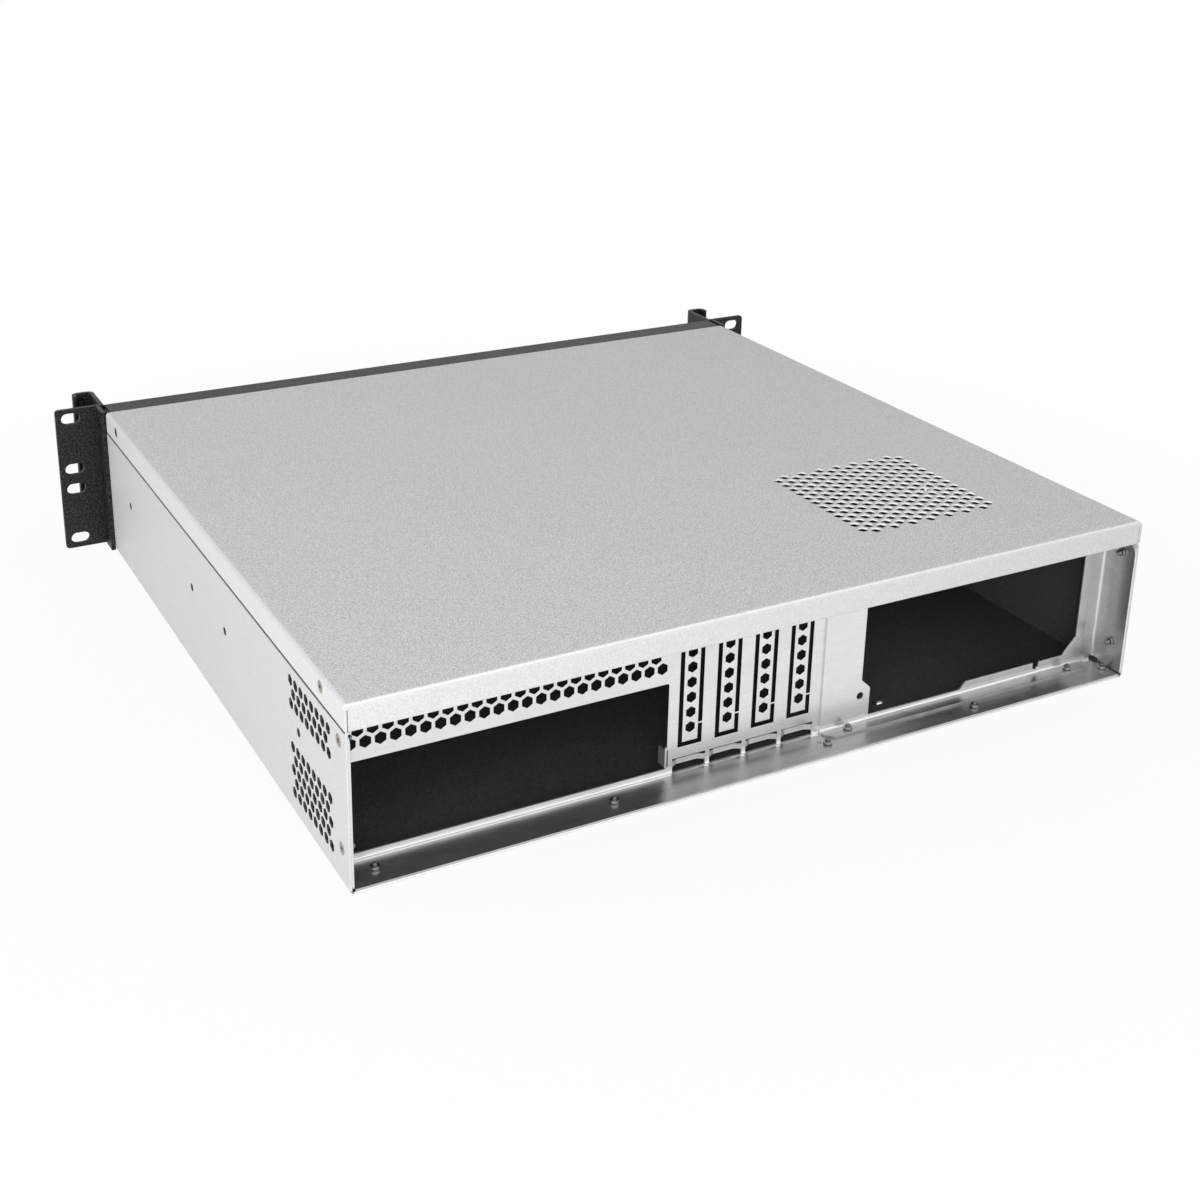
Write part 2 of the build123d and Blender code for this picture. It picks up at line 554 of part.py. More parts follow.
def rear_panel():
    """Bare pan: the rear wall with flanges on the floor, against both sides and at the top."""
    wall_front = REAR_WALL_DEPTH + SHEET
    walls = {"-X", "+X", "-Y", "-Z"}
    pan = folded_box(-INNER_HALF, INNER_HALF, 0, wall_front, SHEET, SIDE_FLANGE_TOP, walls, "-Y")
    under_flange = REAR_WALL_TOP - SHEET
    path = [(wall_front + CARD_FLANGE, under_flange), (wall_front, under_flange), (wall_front, MIDDLE_HEIGHT)]
    pan += along_x(strip_section(path, SHEET, [BEND]), BRACE_HALF, -BRACE_HALF)
    trim = block(INNER_HALF - 2 * SHEET, INNER_HALF + CUT, -CUT, SIDE_FLANGE_CORNER,
                 SIDE_FLANGE_TOP - SIDE_FLANGE_CORNER, SIDE_FLANGE_TOP + CUT)
    corner = Plane.YZ * Cylinder(SIDE_FLANGE_CORNER, 8 * SHEET)
    trim -= at(INNER_HALF, SIDE_FLANGE_CORNER, SIDE_FLANGE_TOP - SIDE_FLANGE_CORNER) * corner
    cuts = both_sides(trim)
    cuts += both_sides(block(INNER_HALF - SCREW_LENGTH - CUT, HALF_WIDTH, wall_front + BEND,
                             wall_front + CARD_FLANGE + CUT, under_flange - CUT, BODY_HEIGHT))
    cuts += both_sides(corner_slit(-CUT, wall_front + CUT))
    relief = Plane.XZ * round_punch(2 * CORNER_RELIEF, 4 * OUTER_BEND)
    cuts += both_sides(at(FLOOR_FLANGE_EDGE, REAR_WALL_DEPTH, 2 * SHEET) * relief)
    opening = Plane.XZ * extrude(RectangleRounded(IO_WIDTH, IO_HEIGHT, IO_CORNER), 4 * SHEET, both=True)
    cuts.append(at(IO_EDGE_X + IO_WIDTH / 2, REAR_WALL_DEPTH, IO_BOTTOM + IO_HEIGHT / 2) * opening)
    vent = Plane.XZ * hex_punch(REAR_HEX, True)
    middle = IO_EDGE_X + IO_WIDTH / 2
    for row in range(REAR_HEX_ROWS):
        count = REAR_HEX_COUNT - row % 2
        for index in range(count):
            x = middle + (index - (count - 1) / 2) * REAR_HEX_PITCH
            cuts.append(at(x, REAR_WALL_DEPTH, REAR_VENT_HEIGHT + row * REAR_HEX_PITCH * HEX_ROW) * vent)
    card_hole = round_punch(SCREW_DIAMETER + 2 * SCREW_CLEARANCE)
    for x in slot_centres():
        cuts += slot_cuts(x)
        cuts.append(at(x, CARD_SCREW_DEPTH, REAR_WALL_TOP) * card_hole)
    window_left = SUPPLY_EDGE_X - SUPPLY_WINDOW_MARGIN
    window_right = SUPPLY_EDGE_X - SUPPLY_WIDTH + 2 * SUPPLY_WINDOW_MARGIN
    cuts.append(block(window_left, window_right, REAR_WALL_DEPTH - CUT, wall_front + CARD_FLANGE + CUT,
                      SUPPLY_WINDOW_BOTTOM, BODY_HEIGHT))
    cuts += wall_screws(side_screw_places(), HALF_WIDTH, *SMALL_SCREW, hole=True)
    cuts += floor_screws(FLOOR_SCREW_PLACES, FLOOR_SCREW_LENGTH, hole=True)
    cuts += floor_screws(SUPPLY_SCREW_PLACES, FLOOR_SCREW_LENGTH + SHEET, hole=True)
    tab_top = IO_TAB_BOTTOM + IO_TAB_HEIGHT
    cuts.append(block(IO_EDGE_X - IO_TAB_SLIT, IO_EDGE_X, REAR_WALL_DEPTH - CUT, wall_front + CUT,
                      IO_TAB_BOTTOM, tab_top))
    cuts.append(at(DIMPLE_X, DIMPLE_DEPTH, 2 * SHEET) * Cylinder(DIMPLE_DIAMETER / 2, 2 * DIMPLE_SINK))
    pan -= cuts
    pan += block(IO_EDGE_X, IO_EDGE_X + SHEET, REAR_WALL_DEPTH, REAR_WALL_DEPTH + IO_TAB_REACH,
                 IO_TAB_BOTTOM, tab_top)
    pan += block(IO_EDGE_X - SHEET, IO_EDGE_X + SHEET, REAR_WALL_DEPTH, wall_front,
                 tab_top, tab_top + IO_TAB_ROOT)
    for x in slot_centres():
        pan += foot_strip(x)
    return pan


def psu_plate():
    """Plate over the supply window, with a foot on the pan's floor flange."""
    face = REAR_WALL_DEPTH
    floor = 2 * SHEET
    path = [(face, SUPPLY_PLATE_TOP), (face, floor), (face - SUPPLY_FOOT, floor)]
    plate = along_x(strip_section(path, SHEET, [BEND]), SUPPLY_PLATE_LEFT, SUPPLY_PLATE_RIGHT)
    corners = [(x * ACROSS, REAR_Y - face - SHEET, z * RISE) for x, z in SUPPLY_OPENING]
    cuts = [extrude(make_face(Polyline(*corners, close=True)), 4 * SHEET, dir=(0, 1, 0))]
    hole = Plane.XZ * round_punch(SUPPLY_HOLE_DIAMETER)
    first_x = SUPPLY_EDGE_X - SUPPLY_HOLE_INSET
    top = BODY_HEIGHT - SHEET - SUPPLY_HOLE_INSET
    for x, z in ((first_x, top), (first_x - SUPPLY_HOLE_SPAN, top), (first_x, top - SUPPLY_HOLE_DROP)):
        cuts.append(at(x, face, z) * hole)
    notch_x = first_x - SUPPLY_NOTCH_SPAN
    notch_z = top - SUPPLY_NOTCH_DROP
    cuts.append(at(notch_x, face, notch_z) * hole)
    cuts.append(block(notch_x - SUPPLY_HOLE_DIAMETER / 2, notch_x + SUPPLY_HOLE_DIAMETER / 2,
                      face - 2 * SHEET, face + SHEET, notch_z, notch_z + 2 * SUPPLY_HOLE_DIAMETER))
    cuts += floor_screws(SUPPLY_SCREW_PLACES, FLOOR_SCREW_LENGTH + SHEET, hole=True)
    back = REAR_Y - face + SUPPLY_FOOT
    for x, way in ((SUPPLY_PLATE_LEFT, -1), (SUPPLY_PLATE_RIGHT, 1)):
        corner = [(x, back, 0), (x + way * SUPPLY_FOOT_CHAMFER, back, 0),
                  (x, back - SUPPLY_FOOT_CHAMFER, 0)]
        cuts.append(extrude(make_face(Polyline(*corner, close=True)), 4 * SHEET, dir=(0, 0, 1)))
    return plate - cuts


def ear_profile():
    """Plan section of one ear: side flange, rack flange, handle web and hook."""
    inner = HALF_WIDTH - EAR_PLATE
    tip = EAR_FRONT_DEPTH + HANDLE_REACH
    hook_x = inner + HANDLE_HOOK
    pieces = [
        (HALF_WIDTH, HALF_WIDTH + EAR_PLATE, EAR_BACK_DEPTH - EAR_SIDE_FLANGE, EAR_FRONT_DEPTH),
        (inner, RACK_WIDTH / 2, EAR_BACK_DEPTH, EAR_FRONT_DEPTH),
        (inner, HALF_WIDTH, EAR_BACK_DEPTH, tip),
        (inner, hook_x, tip - EAR_PLATE, tip),
        (hook_x - EAR_PLATE, hook_x, tip - HANDLE_LIP, tip),
    ]
    profile = Sketch()
    for x0, x1, d0, d1 in pieces:
        profile += Pos((x0 + x1) / 2, REAR_Y - (d0 + d1) / 2) * Rectangle(x1 - x0, d1 - d0)
    front = REAR_Y - tip
    outer = [v for v in profile.vertices() if abs(v.Y - front) < EAR_PLATE / 2]
    profile = fillet(outer, HANDLE_CORNER)
    back = front + EAR_PLATE
    inside = [v for v in profile.vertices() if abs(v.Y - back) < EAR_PLATE / 4 and inner < v.X < hook_x]
    profile = fillet(inside, HANDLE_CORNER - EAR_PLATE)
    lip_end = REAR_Y - tip + HANDLE_LIP
    ends = [v for v in profile.vertices() if abs(v.Y - lip_end) < EAR_PLATE / 2 and v.X > HALF_WIDTH + CUT]
    return fillet(ends, EAR_PLATE / 3)


def rack_slot_heights():
    """Heights of the four rack slots."""
    reaches = (RACK_SLOT_OUTER / 2, RACK_SLOT_INNER / 2)
    return [MIDDLE_HEIGHT + sign * reach for reach in reaches for sign in (-1, 1)]


def ear():
    """Black ear and handle for the +X side."""
    body = extrude(ear_profile(), BODY_HEIGHT)
    edge = RACK_WIDTH / 2
    slot = Plane.XZ * extrude(SlotOverall(RACK_SLOT_LENGTH, RACK_SLOT_HEIGHT), 2 * EAR_PLATE, both=True)
    cuts = [at(edge - RACK_HOLE_INSET, EAR_FRONT_DEPTH, height) * slot for height in rack_slot_heights()]
    hole = turned_out(1) * screw_hole(EAR_SCREW_DIAMETER, EAR_SCREW_HEAD, EAR_SCREW_LENGTH)
    for depth, height in ear_screw_places():
        cuts.append(at(HALF_WIDTH + EAR_PLATE, depth, height) * hole)
    body -= cuts
    corners = [e for e in body.edges().filter_by(Axis.Y) if abs(e.center().X - edge) < SHEET]
    return fillet(corners, EAR_CORNER)


def fan_centres():
    """X and height of each fan opening's middle."""
    return [(x * ACROSS, MIDDLE_HEIGHT) for x in FAN_PLACES_X]


def boss_places():
    """X and height of each fascia pillar."""
    return [(x * ACROSS, z) for x in BOSS_PLACES_X for z in (BOSS_INSET, BODY_HEIGHT - BOSS_INSET)]


def board_hole_places():
    """X and height of the board's two screws."""
    reach = BOARD_WIDTH / 2 - BOARD_HOLE_INSET
    return [(CONTROL_X - reach, BOARD_BOTTOM + BOARD_HOLE_INSET),
            (CONTROL_X + reach, BOARD_TOP - BOARD_HOLE_INSET)]


def lens_places():
    """X and height of the power and drive lights."""
    return [(CONTROL_X + offset, RESET_HEIGHT) for offset in (-LENS_OFFSET, LENS_OFFSET)]


def usb_heights():
    """Heights of the two sockets."""
    return [height * RISE for height in USB_HEIGHTS]


def front_frame():
    """Inner front wall with the fan openings, flanged forward."""
    wall_back = FRAME_FACE_DEPTH - SHEET
    front = wall_back + FRAME_FLANGE_REACH
    walls = {"-X", "+X", "+Y", "-Z"}
    frame = folded_box(-INNER_HALF, INNER_HALF, wall_back, front, SHEET, SIDE_FLANGE_TOP, walls, "+Y")
    top = BODY_HEIGHT - FASCIA_SHEET - 2 * SEAT_GAP
    path = [(wall_back, MIDDLE_HEIGHT), (wall_back, top), (front, top)]
    frame += along_x(strip_section(path, SHEET, [BEND]), BRACE_HALF, -BRACE_HALF)
    cuts = both_sides(corner_slit(wall_back - CUT, front + CUT))
    opening = Plane.XZ * round_punch(FAN_DIAMETER)
    fan_hole = Plane.XZ * round_punch(FAN_HOLE_DIAMETER)
    half = FAN_HOLE_SPACING / 2
    for x, z in fan_centres():
        cuts.append(at(x, wall_back, z) * opening)
        cuts += [at(x + dx, wall_back, z + dz) * fan_hole for dx in (-half, half) for dz in (-half, half)]
    cuts += ear_screw_holes()
    return frame - cuts


def hex_field(x0, x1, z0, z1):
    """Places of a staggered field of hexagons between two X places and two heights."""
    places = []
    row_step = FASCIA_HEX_PITCH * HEX_ROW
    rows = int((z1 - z0) / row_step) + 1
    columns = int((x1 - x0) / FASCIA_HEX_PITCH) + 1
    for row in range(rows):
        z = (z0 + z1) / 2 + (row - (rows - 1) / 2) * row_step
        count = columns - row % 2
        for index in range(count):
            x = (x0 + x1) / 2 + (index - (count - 1) / 2) * FASCIA_HEX_PITCH
            places.append((x, z))
    return places


def fascia_vents():
    """Places of the hexagons in front of both fans and of the drive cage."""
    reach = FAN_DIAMETER / 2 - FASCIA_HEX / 2
    places = []
    for cx, cz in fan_centres():
        field = hex_field(cx - reach, cx + reach, cz - reach, cz + reach)
        places += [(x, z) for x, z in field if (x - cx) ** 2 + (z - cz) ** 2 <= reach ** 2]
    places += hex_field(CAGE_RIGHT + CAGE_FOOT / 2, CAGE_LEFT - CAGE_FOOT / 2, DRIVE_PITCH / 2, CAGE_HEIGHT)
    return places


def front_panel():
    """Black fascia: front plate and a top flange that reaches back to the lid."""
    rear = LID_DEPTH + SEAT_GAP
    path = [(rear, BODY_HEIGHT), (EAR_FRONT_DEPTH, BODY_HEIGHT), (EAR_FRONT_DEPTH, 0)]
    panel = along_x(strip_section(path, FASCIA_SHEET, [BEND]), FASCIA_HALF, -FASCIA_HALF)
    vent = Plane.XZ * hex_punch(FASCIA_HEX, True)
    depth = EAR_FRONT_DEPTH - FASCIA_SHEET / 2
    cuts = [at(x, depth, z) * vent for x, z in fascia_vents()]
    screw = HEAD_FORWARD * screw_hole(SCREW_DIAMETER, SCREW_HEAD_DIAMETER, SCREW_LENGTH)
    cuts += [at(x, EAR_FRONT_DEPTH, z) * screw for x, z in boss_places()]
    for z, size in ((POWER_HEIGHT, POWER_DIAMETER), (RESET_HEIGHT, RESET_DIAMETER)):
        cuts.append(at(CONTROL_X, depth, z) * (Plane.XZ * round_punch(size + 2 * SEAT_GAP)))
    light_hole = Plane.XZ * round_punch(LENS_DIAMETER + 2 * LENS_CLEARANCE)
    cuts += [at(x, depth, z) * light_hole for x, z in lens_places()]
    half_x = USB_WIDTH / 2 + SEAT_GAP
    half_z = USB_HEIGHT / 2 + SEAT_GAP
    for z in usb_heights():
        cuts.append(block(CONTROL_X - half_x, CONTROL_X + half_x, FASCIA_BACK_DEPTH - CUT,
                          EAR_FRONT_DEPTH + CUT, z - half_z, z + half_z))
    return panel - cuts


def bar_y(x, z, diameter, d0, d1):
    """Round bar along Y between two depths."""
    return at(x, (d0 + d1) / 2, z) * (Plane.XZ * Cylinder(diameter / 2, d1 - d0))


def fascia_bosses():
    """Hexagonal pillars that carry the fascia on the inner wall."""
    length = FASCIA_BACK_DEPTH - FRAME_FACE_DEPTH
    pillar = extrude(RegularPolygon(BOSS_ACROSS / 2, 6, major_radius=False), length / 2, both=True)
    pillar -= round_punch(SCREW_DIAMETER + 2 * SCREW_CLEARANCE, length + CUT)
    pillar = Plane.XZ * pillar
    middle = (FASCIA_BACK_DEPTH + FRAME_FACE_DEPTH) / 2
    bosses = [at(x, middle, z) * pillar for x, z in boss_places()]
    screw = HEAD_FORWARD * screw_hole(SCREW_DIAMETER, SCREW_HEAD_DIAMETER, SCREW_LENGTH)
    return [boss - at(x, EAR_FRONT_DEPTH, z) * screw for boss, (x, z) in zip(bosses, boss_places())]


def fascia_screws():
    """Flat screws through the fascia into its pillars."""
    screw = HEAD_FORWARD * flat_screw(SCREW_DIAMETER, SCREW_HEAD_DIAMETER, SCREW_LENGTH)
    return [at(x, EAR_FRONT_DEPTH, z) * screw for x, z in boss_places()]


def front_board():
    """Upright circuit board that carries the switches, lights and sockets."""
    board = block(CONTROL_X - BOARD_WIDTH / 2, CONTROL_X + BOARD_WIDTH / 2,
                  BOARD_BACK_DEPTH, BOARD_FACE_DEPTH, BOARD_BOTTOM, BOARD_TOP)
    hole = Plane.XZ * round_punch(SCREW_DIAMETER + 2 * SCREW_CLEARANCE)
    return board - [at(x, BOARD_FACE_DEPTH, z) * hole for x, z in board_hole_places()]


def board_spacers():
    """Rings that hold the board off the inner wall."""
    ring = Cylinder(PAN_HEAD_DIAMETER / 2, BOARD_STANDOFF)
    ring = Plane.XZ * (ring - round_punch(SCREW_DIAMETER + 2 * SCREW_CLEARANCE))
    middle = FRAME_FACE_DEPTH + BOARD_STANDOFF / 2
    return [at(x, middle, z) * ring for x, z in board_hole_places()]


def board_screws():
    """Pan-headed screws that hold the board through its spacers."""
    found = []
    for x, z in board_hole_places():
        shank = bar_y(x, z, SCREW_DIAMETER, FRAME_FACE_DEPTH, BOARD_FACE_DEPTH)
        head = bar_y(x, z, PAN_HEAD_DIAMETER, BOARD_FACE_DEPTH, BOARD_FACE_DEPTH + PAN_HEAD_HEIGHT)
        found.append(shank + head)
    return found


def switch_housings():
    """The two small push switches on the board, each with the bore its plunger runs in."""
    found = []
    back = BOARD_FACE_DEPTH
    front = back + SWITCH_HEIGHT
    for z in (POWER_HEIGHT, RESET_HEIGHT):
        half = SWITCH_SIDE / 2
        body = block(CONTROL_X - half, CONTROL_X + half, back, front, z - half, z + half)
        body -= bar_y(CONTROL_X, z, PLUNGER_DIAMETER + 2 * SEAT_GAP, back + SWITCH_WALL, front + CUT)
        found.append(body)
    return found


def plunger(z):
    """Switch plunger, from inside its housing to the back of its button."""
    end = BOARD_FACE_DEPTH + SWITCH_WALL + SEAT_GAP + BUTTON_TRAVEL
    return bar_y(CONTROL_X, z, PLUNGER_DIAMETER, end, BUTTON_BACK_DEPTH)


def button(z, diameter):
    """Push button with a rim behind the fascia and a slightly rounded face."""
    front = EAR_FRONT_DEPTH + BUTTON_PROUD
    cap = bar_y(CONTROL_X, z, diameter, BUTTON_BACK_DEPTH, front)
    face = cap.faces().sort_by(Axis.Y)[0]
    cap = fillet(face.edges(), BUTTON_RIM / 2)
    rim_front = BUTTON_BACK_DEPTH + BUTTON_RIM_THICKNESS
    return cap + bar_y(CONTROL_X, z, diameter + 2 * BUTTON_RIM, BUTTON_BACK_DEPTH, rim_front)


def lens(x, z):
    """Light pipe from the board through the fascia, with a domed end."""
    rod = bar_y(x, z, LENS_DIAMETER, BOARD_FACE_DEPTH, EAR_FRONT_DEPTH + LENS_PROUD)
    face = rod.faces().sort_by(Axis.Y)[0]
    rod = fillet(face.edges(), LENS_PROUD)
    rim_front = BOARD_FACE_DEPTH + LENS_RIM_LENGTH
    return rod + bar_y(x, z, LENS_DIAMETER + 2 * LENS_RIM, BOARD_FACE_DEPTH, rim_front)


def usb_shells():
    """Folded metal shells of the two sockets."""
    found = []
    half_x = USB_WIDTH / 2
    half_z = USB_HEIGHT / 2
    inner_x = half_x - USB_WALL
    inner_z = half_z - USB_WALL
    for z in usb_heights():
        shell = block(CONTROL_X - half_x, CONTROL_X + half_x, BOARD_FACE_DEPTH, EAR_FRONT_DEPTH,
                      z - half_z, z + half_z)
        shell -= block(CONTROL_X - inner_x, CONTROL_X + inner_x, BOARD_FACE_DEPTH + SHEET,
                       EAR_FRONT_DEPTH + CUT, z - inner_z, z + inner_z)
        found.append(shell)
    return found


def usb_tongues():
    """Plastic tongues inside the sockets."""
    reach = USB_WIDTH / 2 - USB_WALL - SHEET / 2
    back = BOARD_FACE_DEPTH + SHEET
    return [block(CONTROL_X - reach, CONTROL_X + reach, back, EAR_FRONT_DEPTH - SHEET, z, z + 2 * SHEET)
            for z in usb_heights()]


def drive_cage():
    """Hat of sheet with feet on the floor and screw holes for two drives on each side."""
    top = SHEET + CAGE_HEIGHT
    path = [(CAGE_LEFT + CAGE_FOOT, SHEET), (CAGE_LEFT, SHEET), (CAGE_LEFT, top),
            (CAGE_RIGHT, top), (CAGE_RIGHT, SHEET), (CAGE_RIGHT - CAGE_FOOT, SHEET)]
    cage = across(strip_section(path, SHEET, [BEND] * 4), CAGE_REAR, CAGE_DEPTH)
    hole = Plane.YZ * round_punch(DRIVE_SCREW_HOLE)
    cuts = []
    for level in range(2):
        height = 2 * SHEET + DRIVE_SCREW_HEIGHT + level * DRIVE_PITCH
        for depth in (CAGE_FRONT - DRIVE_SCREW_FRONT, CAGE_FRONT - DRIVE_SCREW_FRONT - DRIVE_SCREW_SPAN):
            cuts += [at(x, depth, height) * hole for x in (CAGE_LEFT, CAGE_RIGHT)]
    slot = extrude(SlotOverall(CAGE_INNER_WIDTH / 2, CAGE_SLOT_WIDTH), 2 * SHEET, both=True)
    middle_x = (CAGE_LEFT + CAGE_RIGHT) / 2
    for index in range(CAGE_SLOT_COUNT):
        depth = CAGE_REAR + (index + 1) * CAGE_DEPTH / (CAGE_SLOT_COUNT + 1)
        cuts.append(at(middle_x, depth, top) * slot)
    rivet = round_punch(RIVET_DIAMETER + 2 * SCREW_CLEARANCE)
    cuts += [at(x, depth, SHEET) * rivet for x, depth in cage_rivet_places()]
    return cage - cuts


def rivet():
    """Rivet along Z: a domed head above the origin and a short shank below it."""
    head = Cylinder(RIVET_HEAD / 2, RIVET_HEAD_HEIGHT, align=(Align.CENTER, Align.CENTER, Align.MIN))
    head = fillet(head.edges().group_by(Axis.Z)[-1], RIVET_HEAD_HEIGHT * 0.7)
    shank = Cylinder(RIVET_DIAMETER / 2, 2 * SHEET, align=(Align.CENTER, Align.CENTER, Align.MAX))
    return head + shank


def cage_rivets():
    """Rivets through the drive cage's feet and the floor."""
    return [at(x, depth, 2 * SHEET) * rivet() for x, depth in cage_rivet_places()]


def brace_rivets():
    """Rivets through the brace's end flanges and the tray's stepped wall."""
    found = []
    turned = Rot(0, -90, 0) * rivet()
    for depth in brace_rivet_depths():
        found += both_sides(at(BRACE_HALF - SHEET, depth, BRACE_RIVET_HEIGHT) * turned)
    return found


def cross_brace():
    """Shallow channel under the lid, flanged down at both ends."""
    walls = {"+X", "-X", "+Y", "-Y", "+Z"}
    start = BRACE_DEPTH - BRACE_WIDTH / 2
    end = BRACE_DEPTH + BRACE_WIDTH / 2
    bottom = BRACE_TOP - BRACE_HEIGHT
    brace = folded_box(-BRACE_HALF, BRACE_HALF, start, end, bottom, BRACE_TOP, walls, "+Z")
    slit_top = BRACE_TOP - OUTER_BEND
    slit_x = BRACE_HALF - SHEET - CORNER_GAP
    cuts = both_sides(block(slit_x, BRACE_HALF - SHEET, start - CUT, start + SHEET, 0, slit_top))
    cuts += both_sides(block(slit_x, BRACE_HALF - SHEET, end - SHEET, end + CUT, 0, slit_top))
    hole = Plane.YZ * round_punch(RIVET_DIAMETER + 2 * SCREW_CLEARANCE)
    for depth in brace_rivet_depths():
        cuts += both_sides(at(BRACE_HALF, depth, BRACE_RIVET_HEIGHT) * hole)
    return brace - cuts


def card_screws():
    """Pan-headed screws in the top flange, one for each slot."""
    head = Cylinder(PAN_HEAD_DIAMETER / 2, PAN_HEAD_HEIGHT, align=(Align.CENTER, Align.CENTER, Align.MIN))
    head = fillet(head.edges().group_by(Axis.Z)[-1], PAN_HEAD_HEIGHT / 4)
    shank = Cylinder(SCREW_DIAMETER / 2, SCREW_LENGTH, align=(Align.CENTER, Align.CENTER, Align.MAX))
    screw = head + shank
    return [at(x, CARD_SCREW_DEPTH, REAR_WALL_TOP) * screw for x in slot_centres()]


def press_nuts():
    """Round threaded collars pressed into the pan and the supply plate, around the screws' tips."""
    collar = Cylinder(PRESS_NUT_DIAMETER / 2, PRESS_NUT_HEIGHT,
                      align=(Align.CENTER, Align.CENTER, Align.MIN))
    collar -= round_punch(SCREW_DIAMETER + 2 * SCREW_CLEARANCE)
    found = [at(x, depth, 2 * SHEET) * collar for x, depth in across_places(FLOOR_SCREW_PLACES)]
    found += [at(x, depth, 3 * SHEET) * collar for x, depth in across_places(SUPPLY_SCREW_PLACES)]
    turned = Rot(0, -90, 0) * collar
    for depth, height in side_screw_places():
        found += both_sides(at(INNER_HALF - SHEET, depth, height) * turned)
    return found


def ear_nuts():
    """Hexagonal nuts on the inside of the walls, behind the ear screws."""
    nut = extrude(RegularPolygon(NUT_ACROSS / 2, 6, major_radius=False), NUT_THICKNESS)
    nut -= round_punch(EAR_SCREW_DIAMETER + 2 * SCREW_CLEARANCE, 4 * NUT_THICKNESS)
    turned = Rot(0, -90, 0) * nut
    found = []
    for depth, height in ear_screw_places():
        seat = INNER_HALF - SHEET if height < LIP_BOTTOM else UPPER_INNER
        found += both_sides(at(seat, depth, height) * turned)
    return found


def nodes():
    """Every separate piece, with the solids that make it."""
    right_ear = ear()
    power_light, drive_light = lens_places()
    return {
        "base_tray": base_tray(),
        "top_cover": top_cover(),
        "rear_panel": rear_panel(),
        "psu_plate": psu_plate(),
        "ear_right": right_ear,
        "ear_left": mirror(right_ear, Plane.YZ),
        "front_frame": front_frame(),
        "front_panel": front_panel(),
        "fascia_bosses": fascia_bosses(),
        "fascia_screws": fascia_screws(),
        "front_board": front_board(),
        "board_spacers": board_spacers(),
        "board_screws": board_screws(),
        "switch_housings": switch_housings(),
        "power_plunger": plunger(POWER_HEIGHT),
        "reset_plunger": plunger(RESET_HEIGHT),
        "power_button": button(POWER_HEIGHT, POWER_DIAMETER),
        "reset_button": button(RESET_HEIGHT, RESET_DIAMETER),
        "power_lens": lens(*power_light),
        "drive_lens": lens(*drive_light),
        "usb_shells": usb_shells(),
        "usb_tongues": usb_tongues(),
        "drive_cage": drive_cage(),
        "cage_rivets": cage_rivets(),
        "cross_brace": cross_brace(),
        "brace_rivets": brace_rivets(),
        "card_screws": card_screws(),
        "lid_screws": wall_screws(lid_screw_places(), HALF_WIDTH, *SMALL_SCREW),
        "side_screws": wall_screws(side_screw_places(), HALF_WIDTH, *SMALL_SCREW),
        "floor_screws": floor_screws(FLOOR_SCREW_PLACES, FLOOR_SCREW_LENGTH),
        "supply_screws": floor_screws(SUPPLY_SCREW_PLACES, FLOOR_SCREW_LENGTH + SHEET),
        "ear_screws": wall_screws(ear_screw_places(), HALF_WIDTH + EAR_PLATE, EAR_SCREW_DIAMETER,
                                  EAR_SCREW_HEAD, EAR_SCREW_LENGTH),
        "ear_nuts": ear_nuts(),
        "press_nuts": press_nuts(),
    }


os.makedirs("parts", exist_ok=True)
for name, shape in nodes().items():
    solids = shape if isinstance(shape, list) else [shape]
    pieces = [solid for piece in solids for solid in piece.solids()]
    whole = pieces[0] if len(pieces) == 1 else Compound(pieces)
    whole.label = name
    export_step(whole, f"parts/{name}.step")
    print(name, len(pieces), "solid" if len(pieces) == 1 else "solids")
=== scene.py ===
"""Looks of an empty rackmount server case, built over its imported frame."""

import logging
import math
from abc import ABC, abstractmethod
from dataclasses import dataclass
from enum import Enum
from typing import Any

import bmesh
import bpy
from mathutils import Matrix, Vector


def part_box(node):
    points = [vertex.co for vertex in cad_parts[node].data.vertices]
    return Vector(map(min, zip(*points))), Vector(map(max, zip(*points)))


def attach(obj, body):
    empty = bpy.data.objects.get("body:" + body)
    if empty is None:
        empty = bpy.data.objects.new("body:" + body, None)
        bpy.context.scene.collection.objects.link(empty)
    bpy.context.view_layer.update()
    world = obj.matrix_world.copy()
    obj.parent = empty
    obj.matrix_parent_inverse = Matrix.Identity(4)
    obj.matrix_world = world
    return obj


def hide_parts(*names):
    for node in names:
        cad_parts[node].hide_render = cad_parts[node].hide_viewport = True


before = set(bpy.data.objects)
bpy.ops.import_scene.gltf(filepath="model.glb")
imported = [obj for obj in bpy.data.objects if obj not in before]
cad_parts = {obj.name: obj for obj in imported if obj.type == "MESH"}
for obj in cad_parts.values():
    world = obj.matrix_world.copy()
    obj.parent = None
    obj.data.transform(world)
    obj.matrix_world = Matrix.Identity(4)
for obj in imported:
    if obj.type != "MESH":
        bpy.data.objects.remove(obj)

log = logging.getLogger("server_case")

Colour = tuple[float, float, float]
Place = tuple[float, float, float]
Span = tuple[float, float]
Stop = tuple[float, Colour]
Socket = bpy.types.NodeSocket

CASE_BODY = "case"
FULL_TURN = 6.28
NODE_SAMPLES = 6
SAME_POINT = 1e-6

# The case's own sizes, from the frame. The pan lies on the tray's floor, one sheet up.
TRAY_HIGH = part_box("base_tray")[1]
LID_LOW, LID_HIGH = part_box("top_cover")
PAN_LOW, PAN_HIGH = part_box("rear_panel")
SHEET = PAN_LOW.z
HALF_WIDTH = TRAY_HIGH.x
REAR_Y = TRAY_HIGH.y
LID_TOP = LID_HIGH.z
LIP_EDGE = LID_LOW.z
WALL_SET_BACK = 0.02
WALL_REAR_Y = REAR_Y - WALL_SET_BACK
WALL_MIDDLE_Y = WALL_REAR_Y - SHEET / 2
FLANGE_INNER = PAN_HIGH.x - SHEET

